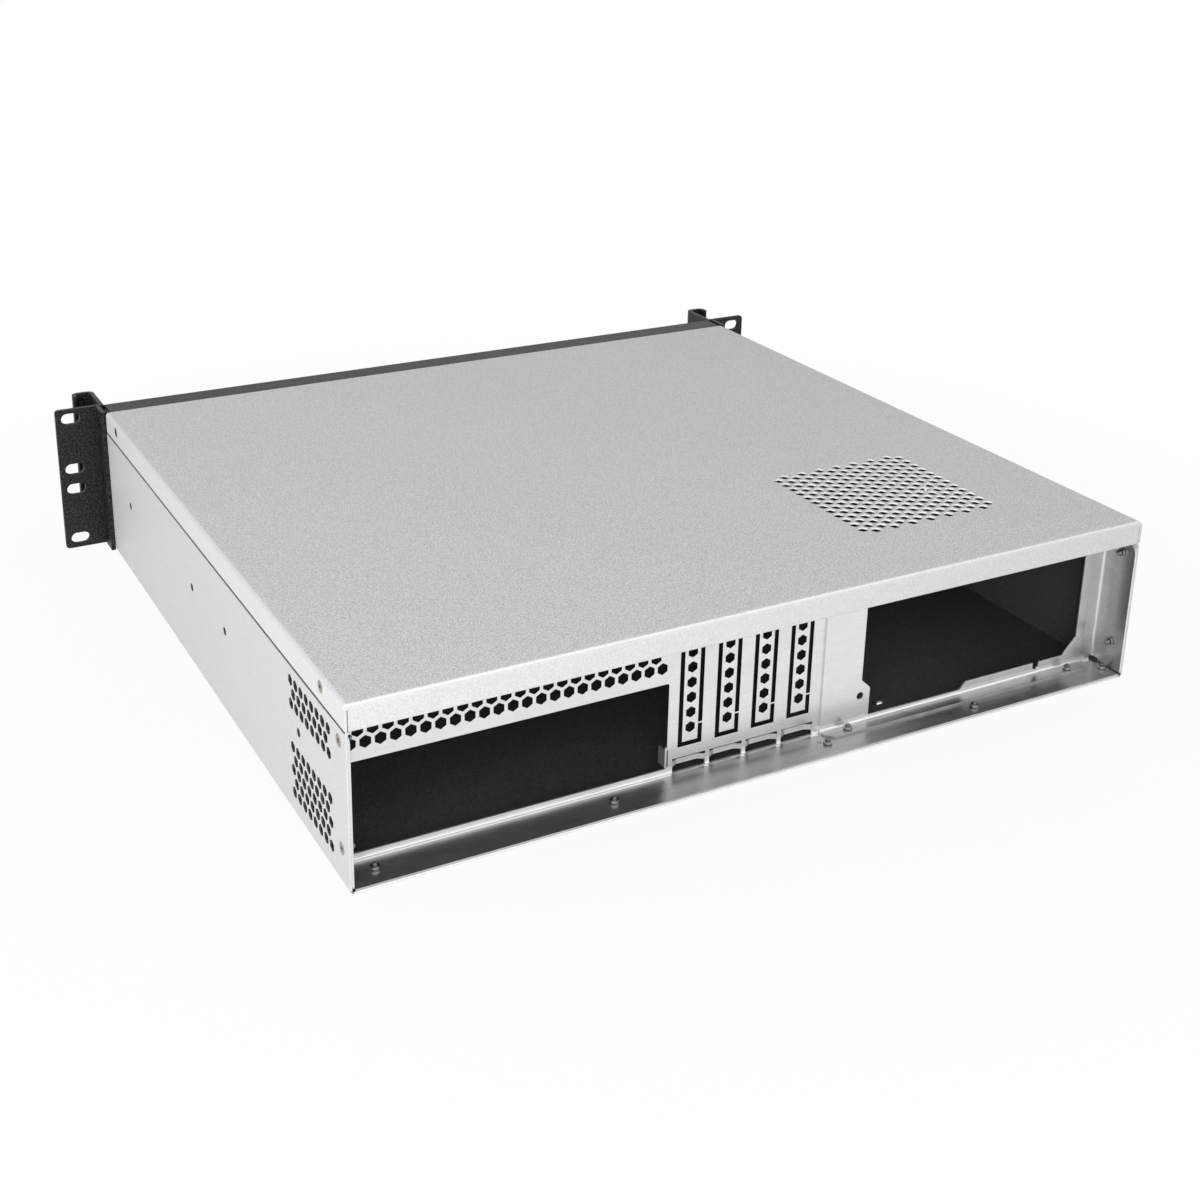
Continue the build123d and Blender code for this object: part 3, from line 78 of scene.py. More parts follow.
# A zone's limits that lie past every face, and the little by which others clear a face.
MIDDLE, BEYOND = -0.001, 1.0
EVERYWHERE = (-BEYOND, BEYOND)
SKIN = 0.00005


class Graph:
    """Short way to add and join the nodes of one shader or geometry tree."""

    def __init__(self, tree: bpy.types.NodeTree) -> None:
        """Work on this tree."""
        self.tree = tree

    def add(self, kind: str, inputs: dict[Any, Any] | None = None,
            **settings: Any) -> bpy.types.Node:
        """Add one node.

        Args:
            kind: Blender's type name of the node.
            inputs: values or output sockets for its inputs, by name or index.
            **settings: the node's own properties.

        Returns:
            The new node.
        """
        node = self.tree.nodes.new(kind)
        for key, value in settings.items():
            setattr(node, key, value)
        for key, value in (inputs or {}).items():
            if isinstance(value, Socket):
                self.tree.links.new(value, node.inputs[key])
            else:
                node.inputs[key].default_value = value
        return node

    def math(self, operation: str, first: Any, second: Any = 0.0, third: Any = 0.0) -> Socket:
        """Output of one Math node."""
        terms = {0: first, 1: second, 2: third}
        return self.add("ShaderNodeMath", terms, operation=operation).outputs[0]

    def vector(self, **axes: Any) -> Socket:
        """Vector made of single axes, by X, Y and Z."""
        return self.add("ShaderNodeCombineXYZ", axes).outputs[0]

    def joined(self, *parts: Socket) -> Socket:
        """Geometry of several parts together.

        Args:
            *parts: geometry sockets, in the order that they are joined.

        Returns:
            The joined geometry's socket.
        """
        node = self.add("GeometryNodeJoinGeometry")
        for part in parts:
            self.tree.links.new(part, node.inputs[0])
        return node.outputs[0]

    def moved(self, part: Socket, **changes: Any) -> Socket:
        """Geometry moved by a Translation or sized by a Scale."""
        return self.add("GeometryNodeTransform", {"Geometry": part, **changes}).outputs[0]

    def ramp(self, fac: Socket, stops: list[Stop]) -> Socket:
        """Colour that follows a factor.

        Args:
            fac: the factor.
            stops: place and colour of the ramp's two stops, from low to high.

        Returns:
            The ramp's colour socket.
        """
        node = self.add("ShaderNodeValToRGB", {"Fac": fac})
        for element, (place, colour) in zip(node.color_ramp.elements, stops):
            element.position = place
            element.color = (*colour, 1.0)
        return node.outputs["Color"]


def shade(colour: Colour, factor: float) -> Colour:
    """The colour made lighter or darker by a factor."""
    return tuple(min(1.0, channel * factor) for channel in colour)


@dataclass(frozen=True)
class Tone:
    """A colour that a grain changes between two of its shades."""

    colour: Colour
    first: float
    last: float
    low: float = 0.34
    high: float = 0.66

    def stops(self) -> list[Stop]:
        """Stops of the tone's ramp."""
        ends = ((self.low, self.first), (self.high, self.last))
        return [(place, shade(self.colour, factor)) for place, factor in ends]


@dataclass(frozen=True)
class Zone:
    """Part of the case between two places on each axis, X counted from the middle outwards."""

    x: Span = (MIDDLE, BEYOND)
    y: Span = EVERYWHERE
    z: Span = EVERYWHERE

    def mask(self, graph: Graph, coords: Socket) -> Socket:
        """Mask of the zone.

        Args:
            graph: the material's nodes.
            coords: the shaded point's place.

        Returns:
            One inside the zone and nought outside it.
        """
        axes = graph.add("ShaderNodeSeparateXYZ", {"Vector": coords}).outputs
        sideways = graph.math("ABSOLUTE", axes["X"])
        found = None
        for value, (low, high) in ((sideways, self.x), (axes["Y"], self.y), (axes["Z"], self.z)):
            above = graph.math("GREATER_THAN", value, low)
            inside = graph.math("MULTIPLY", above, graph.math("LESS_THAN", value, high))
            found = inside if found is None else graph.math("MULTIPLY", found, inside)
        return found


@dataclass(frozen=True)
class Layer:
    """Tone that covers some zones of a sheet."""

    tone: Tone
    zones: tuple[Zone, ...]


class Surface:
    """One node material around a single shader, in the object's own coordinates."""

    def __init__(self, name: str, metallic: float, specular: float) -> None:
        """Start a material.

        Args:
            name: the material's name.
            metallic: the shader's metallic value.
            specular: the shader's specular level.
        """
        self.material = bpy.data.materials.new(name)
        self.material.use_nodes = True
        self.material.node_tree.nodes.clear()
        self.graph = Graph(self.material.node_tree)
        self.shader = self.graph.add(
            "ShaderNodeBsdfPrincipled", {"Metallic": metallic, "Specular IOR Level": specular}
        )
        self.graph.add("ShaderNodeOutputMaterial", {"Surface": self.shader.outputs["BSDF"]})
        self.coords = self.graph.add("ShaderNodeTexCoord").outputs["Object"]

    def noise(self, scale: float, detail: float = 2.0, stretch: Place = (1.0, 1.0, 1.0)) -> Socket:
        """Noise factor over the object.

        Args:
            scale: features per metre.
            detail: octaves.
            stretch: factor on each axis before the noise.

        Returns:
            The factor's socket.
        """
        placed = self.graph.add("ShaderNodeMapping", {"Vector": self.coords, "Scale": stretch})
        inputs = {"Vector": placed.outputs[0], "Scale": scale, "Detail": detail}
        return self.graph.add("ShaderNodeTexNoise", inputs).outputs["Fac"]

    def toned(self, fac: Socket, tone: Tone, layers: tuple[Layer, ...] = ()) -> Socket:
        """Colour of a tone, with layers that cover parts of it.

        Args:
            fac: factor that every tone follows.
            tone: tone where no layer lies.
            layers: the covering layers, the topmost last.

        Returns:
            The colour's socket.
        """
        shown = self.graph.ramp(fac, tone.stops())
        for layer in layers:
            masks = [zone.mask(self.graph, self.coords) for zone in layer.zones]
            covered = masks[0]
            for mask in masks[1:]:
                covered = self.graph.math("MAXIMUM", covered, mask)
            inputs = {0: covered, 6: shown, 7: self.graph.ramp(fac, layer.tone.stops())}
            shown = self.graph.add("ShaderNodeMix", inputs, data_type="RGBA").outputs[2]
        return shown

    def colour(self, socket: Socket) -> None:
        """Join a colour to the shader."""
        self.graph.tree.links.new(socket, self.shader.inputs["Base Color"])

    def roughness(self, fac: Socket, span: Span) -> None:
        """Let roughness follow a factor between two values.

        Args:
            fac: the factor.
            span: roughness where the factor is nought and where it is one.
        """
        inputs = {"Value": fac, "To Min": span[0], "To Max": span[1]}
        spread = self.graph.add("ShaderNodeMapRange", inputs)
        self.graph.tree.links.new(spread.outputs[0], self.shader.inputs["Roughness"])

    def relief(self, height: Socket, depth: float, rounding: float) -> None:
        """Give the surface fine relief and softened edges.

        Args:
            height: the relief's height factor.
            depth: height of the relief in metres.
            rounding: radius of the softened edges in metres.
        """
        edge = self.graph.add("ShaderNodeBevel", {"Radius": rounding}, samples=NODE_SAMPLES)
        bump = self.graph.add("ShaderNodeBump", {"Height": height, "Distance": depth,
                                                 "Normal": edge.outputs["Normal"]})
        self.graph.tree.links.new(bump.outputs["Normal"], self.shader.inputs["Normal"])


class Finish(Enum):
    """Finish of a piece, by the name of its material."""

    PAINTED_STEEL = "painted_steel"
    BARE_STEEL = "bare_steel"
    BLACK_PAINT = "black_paint"
    ZINC_SCREW = "zinc_screw"
    DULL_ZINC = "dull_zinc"
    BROWN_SCREW = "brown_screw"
    BLACK_SCREW = "black_screw"
    BRASS_BOSS = "brass_boss"
    SOCKET_SHELL = "socket_shell"
    ALUMINIUM_RIVET = "aluminium_rivet"
    BOARD_GREEN = "board_green"
    BLACK_PLASTIC = "black_plastic"
    WHITE_PLASTIC = "white_plastic"
    CLEAR_LENS = "clear_lens"


@dataclass(frozen=True)
class PaintedSheet:
    """Fine-grained grey paint outside, with painted shade in charcoal on the case's inner faces, and
    painted highlights and shade on some edges and faces.
    """

    finish: Finish = Finish.PAINTED_STEEL
    paint: Colour = (0.545, 0.553, 0.545)
    # Charcoal that stands in for the shade inside the case.
    inside_shade: Colour = (0.041, 0.041, 0.043)
    grain_scale: float = 1650.0
    grain_depth: float = 0.00005
    edge_radius: float = 0.0005
    gloss_scale: float = 40.0
    roughness: Span = (0.42, 0.52)
    lid_face: tuple[Zone, ...] = (Zone(z=(LID_TOP - 0.0001, BEYOND)),)
    # Painted highlight: the outer faces of the lid's side lips are made lighter, as for light falling
    # on that side.
    lit_side_lips: tuple[Zone, ...] = (
        Zone(x=(HALF_WIDTH - 0.00015, BEYOND), z=(LIP_EDGE + 0.0002, LID_TOP)),
    )
    # Painted highlights: a bright line along the lid's rear bend and one along the tray's rear bottom
    # edge.
    highlit_rear_edges: tuple[Zone, ...] = (
        Zone(y=(REAR_Y - 0.0021, REAR_Y - 0.0005), z=(LID_TOP - 0.0018, LID_TOP - 0.00015)),
        Zone(x=(MIDDLE, FLANGE_INNER - 0.0001), y=(REAR_Y - 0.0012, BEYOND), z=(0.0001, 0.00115)),
    )
    # Painted highlight on the walls of the lid's vent holes.
    highlit_vent_rims: tuple[Zone, ...] = (
        Zone(x=(0.07, 0.17), y=(0.08, 0.17), z=(LID_TOP - 0.00094, LID_TOP - 0.0001)),
    )
    # Painted shade on the outer bottom bend, which faces the floor.
    shaded_underside: tuple[Zone, ...] = (Zone(x=(FLANGE_INNER - 0.0001, BEYOND), z=(-BEYOND, 0.0016)),)
    # Painted shade: the case's inner faces, the corner slit by the floor, the walls of the side vents
    # and the seam under the lid's lips are coloured charcoal to stand in for the shade there.
    inside: tuple[Zone, ...] = (
        Zone(x=(MIDDLE, HALF_WIDTH - SHEET + SKIN), y=(-BEYOND, WALL_MIDDLE_Y),
             z=(SHEET - SKIN, LID_TOP - SHEET + SKIN)),
        Zone(x=(0.21, HALF_WIDTH - SHEET + SKIN), z=(SHEET - SKIN, 0.004)),
        Zone(x=(MIDDLE, HALF_WIDTH - 0.00003), y=(-BEYOND, REAR_Y - 0.017), z=(0.0024, 0.0745)),
        Zone(x=(MIDDLE, HALF_WIDTH - 0.00007), y=(-BEYOND, REAR_Y - 0.0012),
             z=(0.07465, LIP_EDGE + 0.0002)),
    )

    def layers(self) -> tuple[Layer, ...]:
        """What covers the paint's own tone.

        Returns:
            The layers, the topmost last.
        """
        return (
            # The lid's top gets a coarser grain; the other layers are painted light: highlights on
            # the side lips, the rear edges and the vent rims, and shade on the underside and inside.
            Layer(Tone(self.paint, 0.68, 1.22, 0.38, 0.62), self.lid_face),
            Layer(Tone(self.paint, 1.04, 1.2), self.lit_side_lips),
            Layer(Tone(self.paint, 1.14, 1.34), self.highlit_rear_edges),
            Layer(Tone(self.paint, 1.6, 1.75), self.highlit_vent_rims),
            Layer(Tone(self.paint, 0.4, 0.5), self.shaded_underside),
            Layer(Tone(self.inside_shade, 0.3, 1.9, 0.3, 0.7), self.inside),
        )

    def material(self) -> bpy.types.Material:
        """Build the paint's material.

        Returns:
            The new material.
        """
        surface = Surface(self.finish.value, metallic=0.0, specular=0.35)
        grain = surface.noise(self.grain_scale)
        surface.colour(surface.toned(grain, Tone(self.paint, 0.9, 1.08), self.layers()))
        surface.roughness(surface.noise(self.gloss_scale, detail=3.0), self.roughness)
        surface.relief(grain, self.grain_depth, self.edge_radius)
        return surface.material


@dataclass(frozen=True)
class BareSheet:
    """Galvanised sheet, satin, with faint crystals and rolling marks, and painted highlight and shade
    in some zones.
    """

    finish: Finish = Finish.BARE_STEEL
    zinc: Colour = (0.76, 0.763, 0.767)
    shadow: Colour = (0.03, 0.03, 0.032)
    roughness: Span = (0.24, 0.34)
    crystal_scale: float = 140.0
    crystal_share: float = 0.25
    rolling_scale: float = 300.0
    rolling_stretch: Place = (0.2, 4.0, 4.0)
    pitting_scale: float = 1200.0
    pitting_depth: float = 0.00001
    edge_radius: float = 0.0003
    # Painted reflection: the pan's side flanges and the shelf are darkened to stand in for the dark
    # surroundings that they mirror.
    dimmed_flange_faces: tuple[Zone, ...] = (
        Zone(x=(FLANGE_INNER - 0.0012, FLANGE_INNER + 0.0001), y=(WALL_REAR_Y + 0.0012, BEYOND)),
        Zone(y=(WALL_REAR_Y + 0.002, BEYOND), z=(SHEET - 0.0001, 0.0031)),
    )
    # Painted highlight on the bend from the rear wall down to the shelf, standing in for a bright
    # reflection there.
    highlit_shelf_bend: tuple[Zone, ...] = (
        Zone(x=(MIDDLE, 0.2112), y=(WALL_REAR_Y - 0.0002, WALL_REAR_Y + 0.0019),
             z=(SHEET - 0.0001, 0.0058)),
    )
    opening_edges: tuple[Zone, ...] = (
        Zone(x=(MIDDLE, 0.2112), y=(WALL_REAR_Y - 0.00098, WALL_REAR_Y - 0.00002),
             z=(0.0165, 0.0815)),
        Zone(x=(MIDDLE, 0.0485), y=(WALL_REAR_Y - 0.00098, WALL_REAR_Y - 0.00002),
             z=(0.0078, 0.0165)),
    )

    def tone(self, colour: Colour, first: float, last: float) -> Tone:
        """Tone of the sheet between the places where its marks begin and end."""
        return Tone(colour, first, last, 0.25, 0.9)

    def layers(self) -> tuple[Layer, ...]:
        """What covers the sheet's own tone.

        Returns:
            The layers, the topmost last.
        """
        return (
            # The flanges carry a painted dark reflection, the shelf's bend a painted highlight and
            # the openings' edges painted shadow.
            Layer(self.tone(self.zinc, 0.52, 0.7), self.dimmed_flange_faces),
            Layer(self.tone(self.zinc, 1.2, 1.3), self.highlit_shelf_bend),
            Layer(self.tone(self.shadow, 0.8, 1.2), self.opening_edges),
        )

    def material(self) -> bpy.types.Material:
        """Build the sheet's material.

        Returns:
            The new material.
        """
        surface = Surface(self.finish.value, metallic=0.88, specular=0.5)
        graph = surface.graph
        inputs = {"Vector": surface.coords, "Scale": self.crystal_scale}
        cells = graph.add("ShaderNodeTexVoronoi", inputs).outputs["Color"]
        crystal = graph.add("ShaderNodeSeparateColor", {"Color": cells}).outputs[0]
        rolled = surface.noise(self.rolling_scale, detail=3.0, stretch=self.rolling_stretch)
        marks = graph.math("MULTIPLY_ADD", crystal, self.crystal_share, rolled)
        surface.colour(surface.toned(marks, self.tone(self.zinc, 0.93, 1.05), self.layers()))
        surface.roughness(marks, self.roughness)
        surface.relief(surface.noise(self.pitting_scale), self.pitting_depth, self.edge_radius)
        return surface.material


@dataclass(frozen=True)
class PowderCoat:
    """Black powder coat with a fine leathery grain."""

    finish: Finish = Finish.BLACK_PAINT
    black: Colour = (0.011, 0.011, 0.012)
    grain_scale: float = 900.0
    grain_depth: float = 0.0001
    edge_radius: float = 0.0004
    gloss_scale: float = 60.0
    roughness: Span = (0.42, 0.52)

    def material(self) -> bpy.types.Material:
        """Build the coat's material.

        Returns:
            The new material.
        """
        surface = Surface(self.finish.value, metallic=0.0, specular=0.27)
        grain = surface.noise(self.grain_scale, detail=3.0)
        surface.colour(surface.toned(grain, Tone(self.black, 0.1, 2.7, 0.4, 0.62)))
        surface.roughness(surface.noise(self.gloss_scale), self.roughness)
        surface.relief(grain, self.grain_depth, self.edge_radius)
        return surface.material


@dataclass(frozen=True)
class Plating:
    """Plated or bare metal of a small fastener, duller in patches, with painted shade darkening its
    recesses.
    """

    finish: Finish
    metal: Colour
    roughness: Span = (0.2, 0.4)
    patch_scale: float = 500.0
    # The next three values set the painted shade in the recesses: its reach, its colour and the span
    # over which it fades.
    recess_reach: float = 0.0012
    recess: Colour = (0.04, 0.04, 0.04)
    open_share: Span = (0.5, 0.92)
    pitting_scale: float = 2500.0
    pitting_depth: float = 0.00001
    edge_radius: float = 0.0001

    def material(self) -> bpy.types.Material:
        """Build the plating's material.

        Returns:
            The new material.
        """
        surface = Surface(self.finish.value, metallic=1.0, specular=0.5)
        graph = surface.graph
        patches = surface.noise(self.patch_scale, detail=3.0)
        metal = surface.toned(patches, Tone(self.metal, 0.8, 1.15, 0.3, 0.7))
        # Painted shade: ambient occlusion darkens the metal in the head's recess towards the recess
        # colour.
        seen = graph.add("ShaderNodeAmbientOcclusion", {"Distance": self.recess_reach},
                         samples=NODE_SAMPLES).outputs["AO"]
        closed, free = self.open_share
        recess_shade = graph.ramp(seen, [(closed, self.recess), (free, (1.0, 1.0, 1.0))])
        mixed = graph.add("ShaderNodeMix", {0: 1.0, 6: metal, 7: recess_shade}, data_type="RGBA",
                          blend_type="MULTIPLY")
        surface.colour(mixed.outputs[2])
        surface.roughness(patches, self.roughness)
        surface.relief(surface.noise(self.pitting_scale), self.pitting_depth, self.edge_radius)
        return surface.material


@dataclass(frozen=True)
class Moulded:
    """Moulded plastic with a fine spark texture."""

    finish: Finish
    plastic: Colour
    roughness: Span = (0.35, 0.5)
    spark_scale: float = 1600.0
    spark_depth: float = 0.00002
    edge_radius: float = 0.0002

    def material(self) -> bpy.types.Material:
        """Build the plastic's material.

        Returns:
            The new material.
        """
        surface = Surface(self.finish.value, metallic=0.0, specular=0.4)
        spark = surface.noise(self.spark_scale)
        surface.colour(surface.toned(spark, Tone(self.plastic, 0.85, 1.15, 0.3, 0.7)))
        surface.roughness(spark, self.roughness)
        surface.relief(spark, self.spark_depth, self.edge_radius)
        return surface.material


@dataclass(frozen=True)
class LightPipe:
    """Clear light pipe, slightly milky."""

    finish: Finish = Finish.CLEAR_LENS
    tint: Colour = (0.72, 0.84, 0.78)
    clearness: float = 0.6
    milk_scale: float = 300.0
    roughness: Span = (0.08, 0.2)

    def material(self) -> bpy.types.Material:
        """Build the pipe's material.

        Returns:
            The new material.
        """
        surface = Surface(self.finish.value, metallic=0.0, specular=0.5)
        surface.shader.inputs["Transmission Weight"].default_value = self.clearness
        milky = surface.noise(self.milk_scale)
        surface.colour(surface.toned(milky, Tone(self.tint, 0.9, 1.1, 0.3, 0.7)))
        surface.roughness(milky, self.roughness)
        return surface.material


@dataclass(frozen=True)
class CircuitBoard:
    """Lacquered board with faint tracks under the lacquer."""

    finish: Finish = Finish.BOARD_GREEN
    lacquer: Colour = (0.012, 0.09, 0.04)
    track_scale: float = 350.0
    track_width: float = 0.12
    track_depth: float = 0.00003
    edge_radius: float = 0.0001
    gloss_scale: float = 200.0
    roughness: Span = (0.2, 0.32)

    def material(self) -> bpy.types.Material:
        """Build the board's material.

        Returns:
            The new material.
        """
        surface = Surface(self.finish.value, metallic=0.0, specular=0.5)
        inputs = {"Vector": surface.coords, "Scale": self.track_scale}
        tracks = surface.graph.add("ShaderNodeTexVoronoi", inputs, distance="CHEBYCHEV",
                                   feature="DISTANCE_TO_EDGE").outputs["Distance"]
        surface.colour(surface.toned(tracks, Tone(self.lacquer, 1.8, 1.0, 0.0, self.track_width)))
        surface.roughness(surface.noise(self.gloss_scale), self.roughness)
        surface.relief(tracks, self.track_depth, self.edge_radius)
        return surface.material


class Finishes:
    """Every finish of the case, built once."""

    def __init__(self) -> None:
        """Build all the materials."""
        kinds = [
            PaintedSheet(),
            BareSheet(),
            PowderCoat(),
            Plating(Finish.ZINC_SCREW, (0.62, 0.62, 0.61)),
            Plating(Finish.DULL_ZINC, (0.3, 0.3, 0.29), (0.25, 0.4)),
            Plating(Finish.BROWN_SCREW, (0.36, 0.33, 0.285), (0.25, 0.45)),
            Plating(Finish.BRASS_BOSS, (0.62, 0.47, 0.2)),
            Plating(Finish.SOCKET_SHELL, (0.7, 0.7, 0.71), (0.12, 0.25)),
            Plating(Finish.ALUMINIUM_RIVET, (0.66, 0.67, 0.68)),
            Plating(Finish.BLACK_SCREW, (0.2, 0.2, 0.2), (0.2, 0.32)),
            CircuitBoard(),
            Moulded(Finish.BLACK_PLASTIC, (0.02, 0.02, 0.021)),
            Moulded(Finish.WHITE_PLASTIC, (0.72, 0.72, 0.7)),
            LightPipe(),
        ]
        self.materials = {kind.finish: kind.material() for kind in kinds}

    def dress(self, node: str, finish: Finish) -> None:
        """Give a CAD node's material slots one of the finishes.

        Args:
            node: the node's name.
            finish: its finish.
        """
        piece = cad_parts[node]
        if not piece.material_slots:
            piece.data.materials.append(self.materials[finish])
        for slot in piece.material_slots:
            slot.material = self.materials[finish]


class Facing(Enum):
    """Way that a fastener's head looks, for a fastener at a given place."""

    OUTWARD = "outward"
    INWARD = "inward"
    UP = "up"
    DOWN = "down"
    FORWARD = "forward"

    def direction(self, place: Vector) -> Vector:
        """Unit vector along a fastener.

        Args:
            place: the fastener's middle.

        Returns:
            The way that its head looks.
        """
        side = 1.0 if place.x > 0 else -1.0
        ways = {
            Facing.OUTWARD: (side, 0, 0),
            Facing.INWARD: (-side, 0, 0),
            Facing.UP: (0, 0, 1),
            Facing.DOWN: (0, 0, -1),
            Facing.FORWARD: (0, -1, 0),
        }
        return Vector(ways[self])


class Head(Enum):
    """Form of a fastener's head."""

    FLAT = "flat"
    PAN = "pan"
    RIVET = "rivet"
    NUT = "nut"


def solid_boxes(node: str) -> list[tuple[Vector, Vector]]:
    """Box of each separate solid in a CAD node.

    Args:
        node: the node's name.

    Returns:
        Lowest and highest corner of each solid.
    """
    mesh = bmesh.new()
    mesh.from_mesh(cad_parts[node].data)
    bmesh.ops.remove_doubles(mesh, verts=mesh.verts, dist=SAME_POINT)
    left = set(mesh.verts)
    boxes = []
    while left:
        border = [left.pop()]
        found = list(border)
        while border:
            for edge in border.pop().link_edges:
                for vertex in edge.verts:
                    if vertex in left:
                        left.remove(vertex)
                        border.append(vertex)
                        found.append(vertex)
        points = [vertex.co for vertex in found]
        low = Vector(min(point[axis] for point in points) for axis in range(3))
        high = Vector(max(point[axis] for point in points) for axis in range(3))
        boxes.append((low, high))
    mesh.free()
    return sorted(boxes, key=lambda box: tuple(box[0]))


def lathe(profile: list[Span], segments: int) -> bpy.types.Mesh:
    """Closed solid of revolution about Z.

    Args:
        profile: radius and height of each ring, from the top's middle to the bottom's.
        segments: faces round the axis.

    Returns:
        The new mesh.
    """
    form = bmesh.new()
    rings = []
    for radius, height in profile:
        if radius == 0:
            rings.append([form.verts.new((0, 0, height))])
            continue
        turns = [2 * math.pi * index / segments for index in range(segments)]
        rings.append([form.verts.new((radius * math.cos(turn), radius * math.sin(turn), height))
                      for turn in turns])
    for upper, lower in zip(rings, rings[1:]):
        for index in range(segments):
            following = (index + 1) % segments
            corners = [upper[index % len(upper)], upper[following % len(upper)],
                       lower[following % len(lower)], lower[index % len(lower)]]
            form.faces.new(list(dict.fromkeys(corners)))
    bmesh.ops.recalc_face_normals(form, faces=form.faces)
    mesh = bpy.data.meshes.new("turned")
    form.to_mesh(mesh)
    form.free()
    return mesh


def finished_mesh(holder: bpy.types.Object) -> bpy.types.Mesh:
    """Mesh of an object with its modifiers applied."""
    evaluated = holder.evaluated_get(bpy.context.evaluated_depsgraph_get())
    return bpy.data.meshes.new_from_object(evaluated)


@dataclass(frozen=True)
class HeadForm:
    """Head of a fastener, one across and with its top at the origin."""

    kind: Head
    round_sides: int = 40
    nut_sides: int = 6
    recess_across: float = 0.52
    recess_width: float = 0.11
    recess_depth: float = 0.16
    recess_taper: float = 0.6

    def profile(self) -> list[Span]:
        """Outline of the head.

        Returns:
            Radius and height of each ring, from the top's middle to the bottom's.
        """
        if self.kind is Head.FLAT:
            return [(0, 0), (0.3, 0), (0.46, 0), (0.49, -0.01), (0.5, -0.03), (0.5, -0.06),
                    (0.27, -0.27), (0, -0.27)]
        if self.kind is Head.PAN:
            return [(0, 0), (0.25, 0), (0.38, -0.02), (0.46, -0.07), (0.5, -0.15), (0.5, -0.33),
                    (0.25, -0.34), (0, -0.34)]
        if self.kind is Head.RIVET:
            return [(0, -0.05), (0.13, -0.05), (0.15, 0), (0.2, 0), (0.34, -0.03), (0.45, -0.09),
                    (0.5, -0.16), (0.5, -0.18), (0, -0.18)]
        return [(0.26, 0), (0.4, 0), (0.5, -0.05), (0.5, -0.36), (0.4, -0.41), (0.26, -0.41),
                (0.26, 0)]

    def blade(self, turn: float) -> bpy.types.Object:
        """Wedge that cuts one arm of the cross recess.

        Args:
            turn: angle of the arm about Z.

        Returns:
            The wedge.
        """
        bpy.ops.mesh.primitive_cube_add(size=1.0)
        cutter = bpy.context.object
        size = (self.recess_across, self.recess_width, 2 * self.recess_depth, 1)
        cutter.data.transform(Matrix.Diagonal(size))
        for vertex in cutter.data.vertices:
            if vertex.co.z < 0:
                vertex.co.x *= self.recess_taper
        cutter.data.transform(Matrix.Rotation(turn, 4, "Z"))
        return cutter

    def build(self) -> bpy.types.Object:
        """Make the head, which the tree then sets in many places.

        Returns:
            The head's object, which the main function removes at the end.
        """
        sides = self.nut_sides if self.kind is Head.NUT else self.round_sides
        body = bpy.data.objects.new(f"head_{self.kind.value}", lathe(self.profile(), sides))
        bpy.context.scene.collection.objects.link(body)
        if self.kind in (Head.FLAT, Head.PAN):
            for turn in (0.0, math.pi / 2):
                cutter = self.blade(turn)
                cut = body.modifiers.new("recess", "BOOLEAN")
                cut.operation = "DIFFERENCE"
                cut.object = cutter
                made = finished_mesh(body)
                body.modifiers.remove(cut)
                body.data = made
                bpy.data.objects.remove(cutter)
        return body


@dataclass(frozen=True)
class Thread:
    """Thread of a fastener."""

    diameter: float = 0.003
    pitch: float = 0.0005


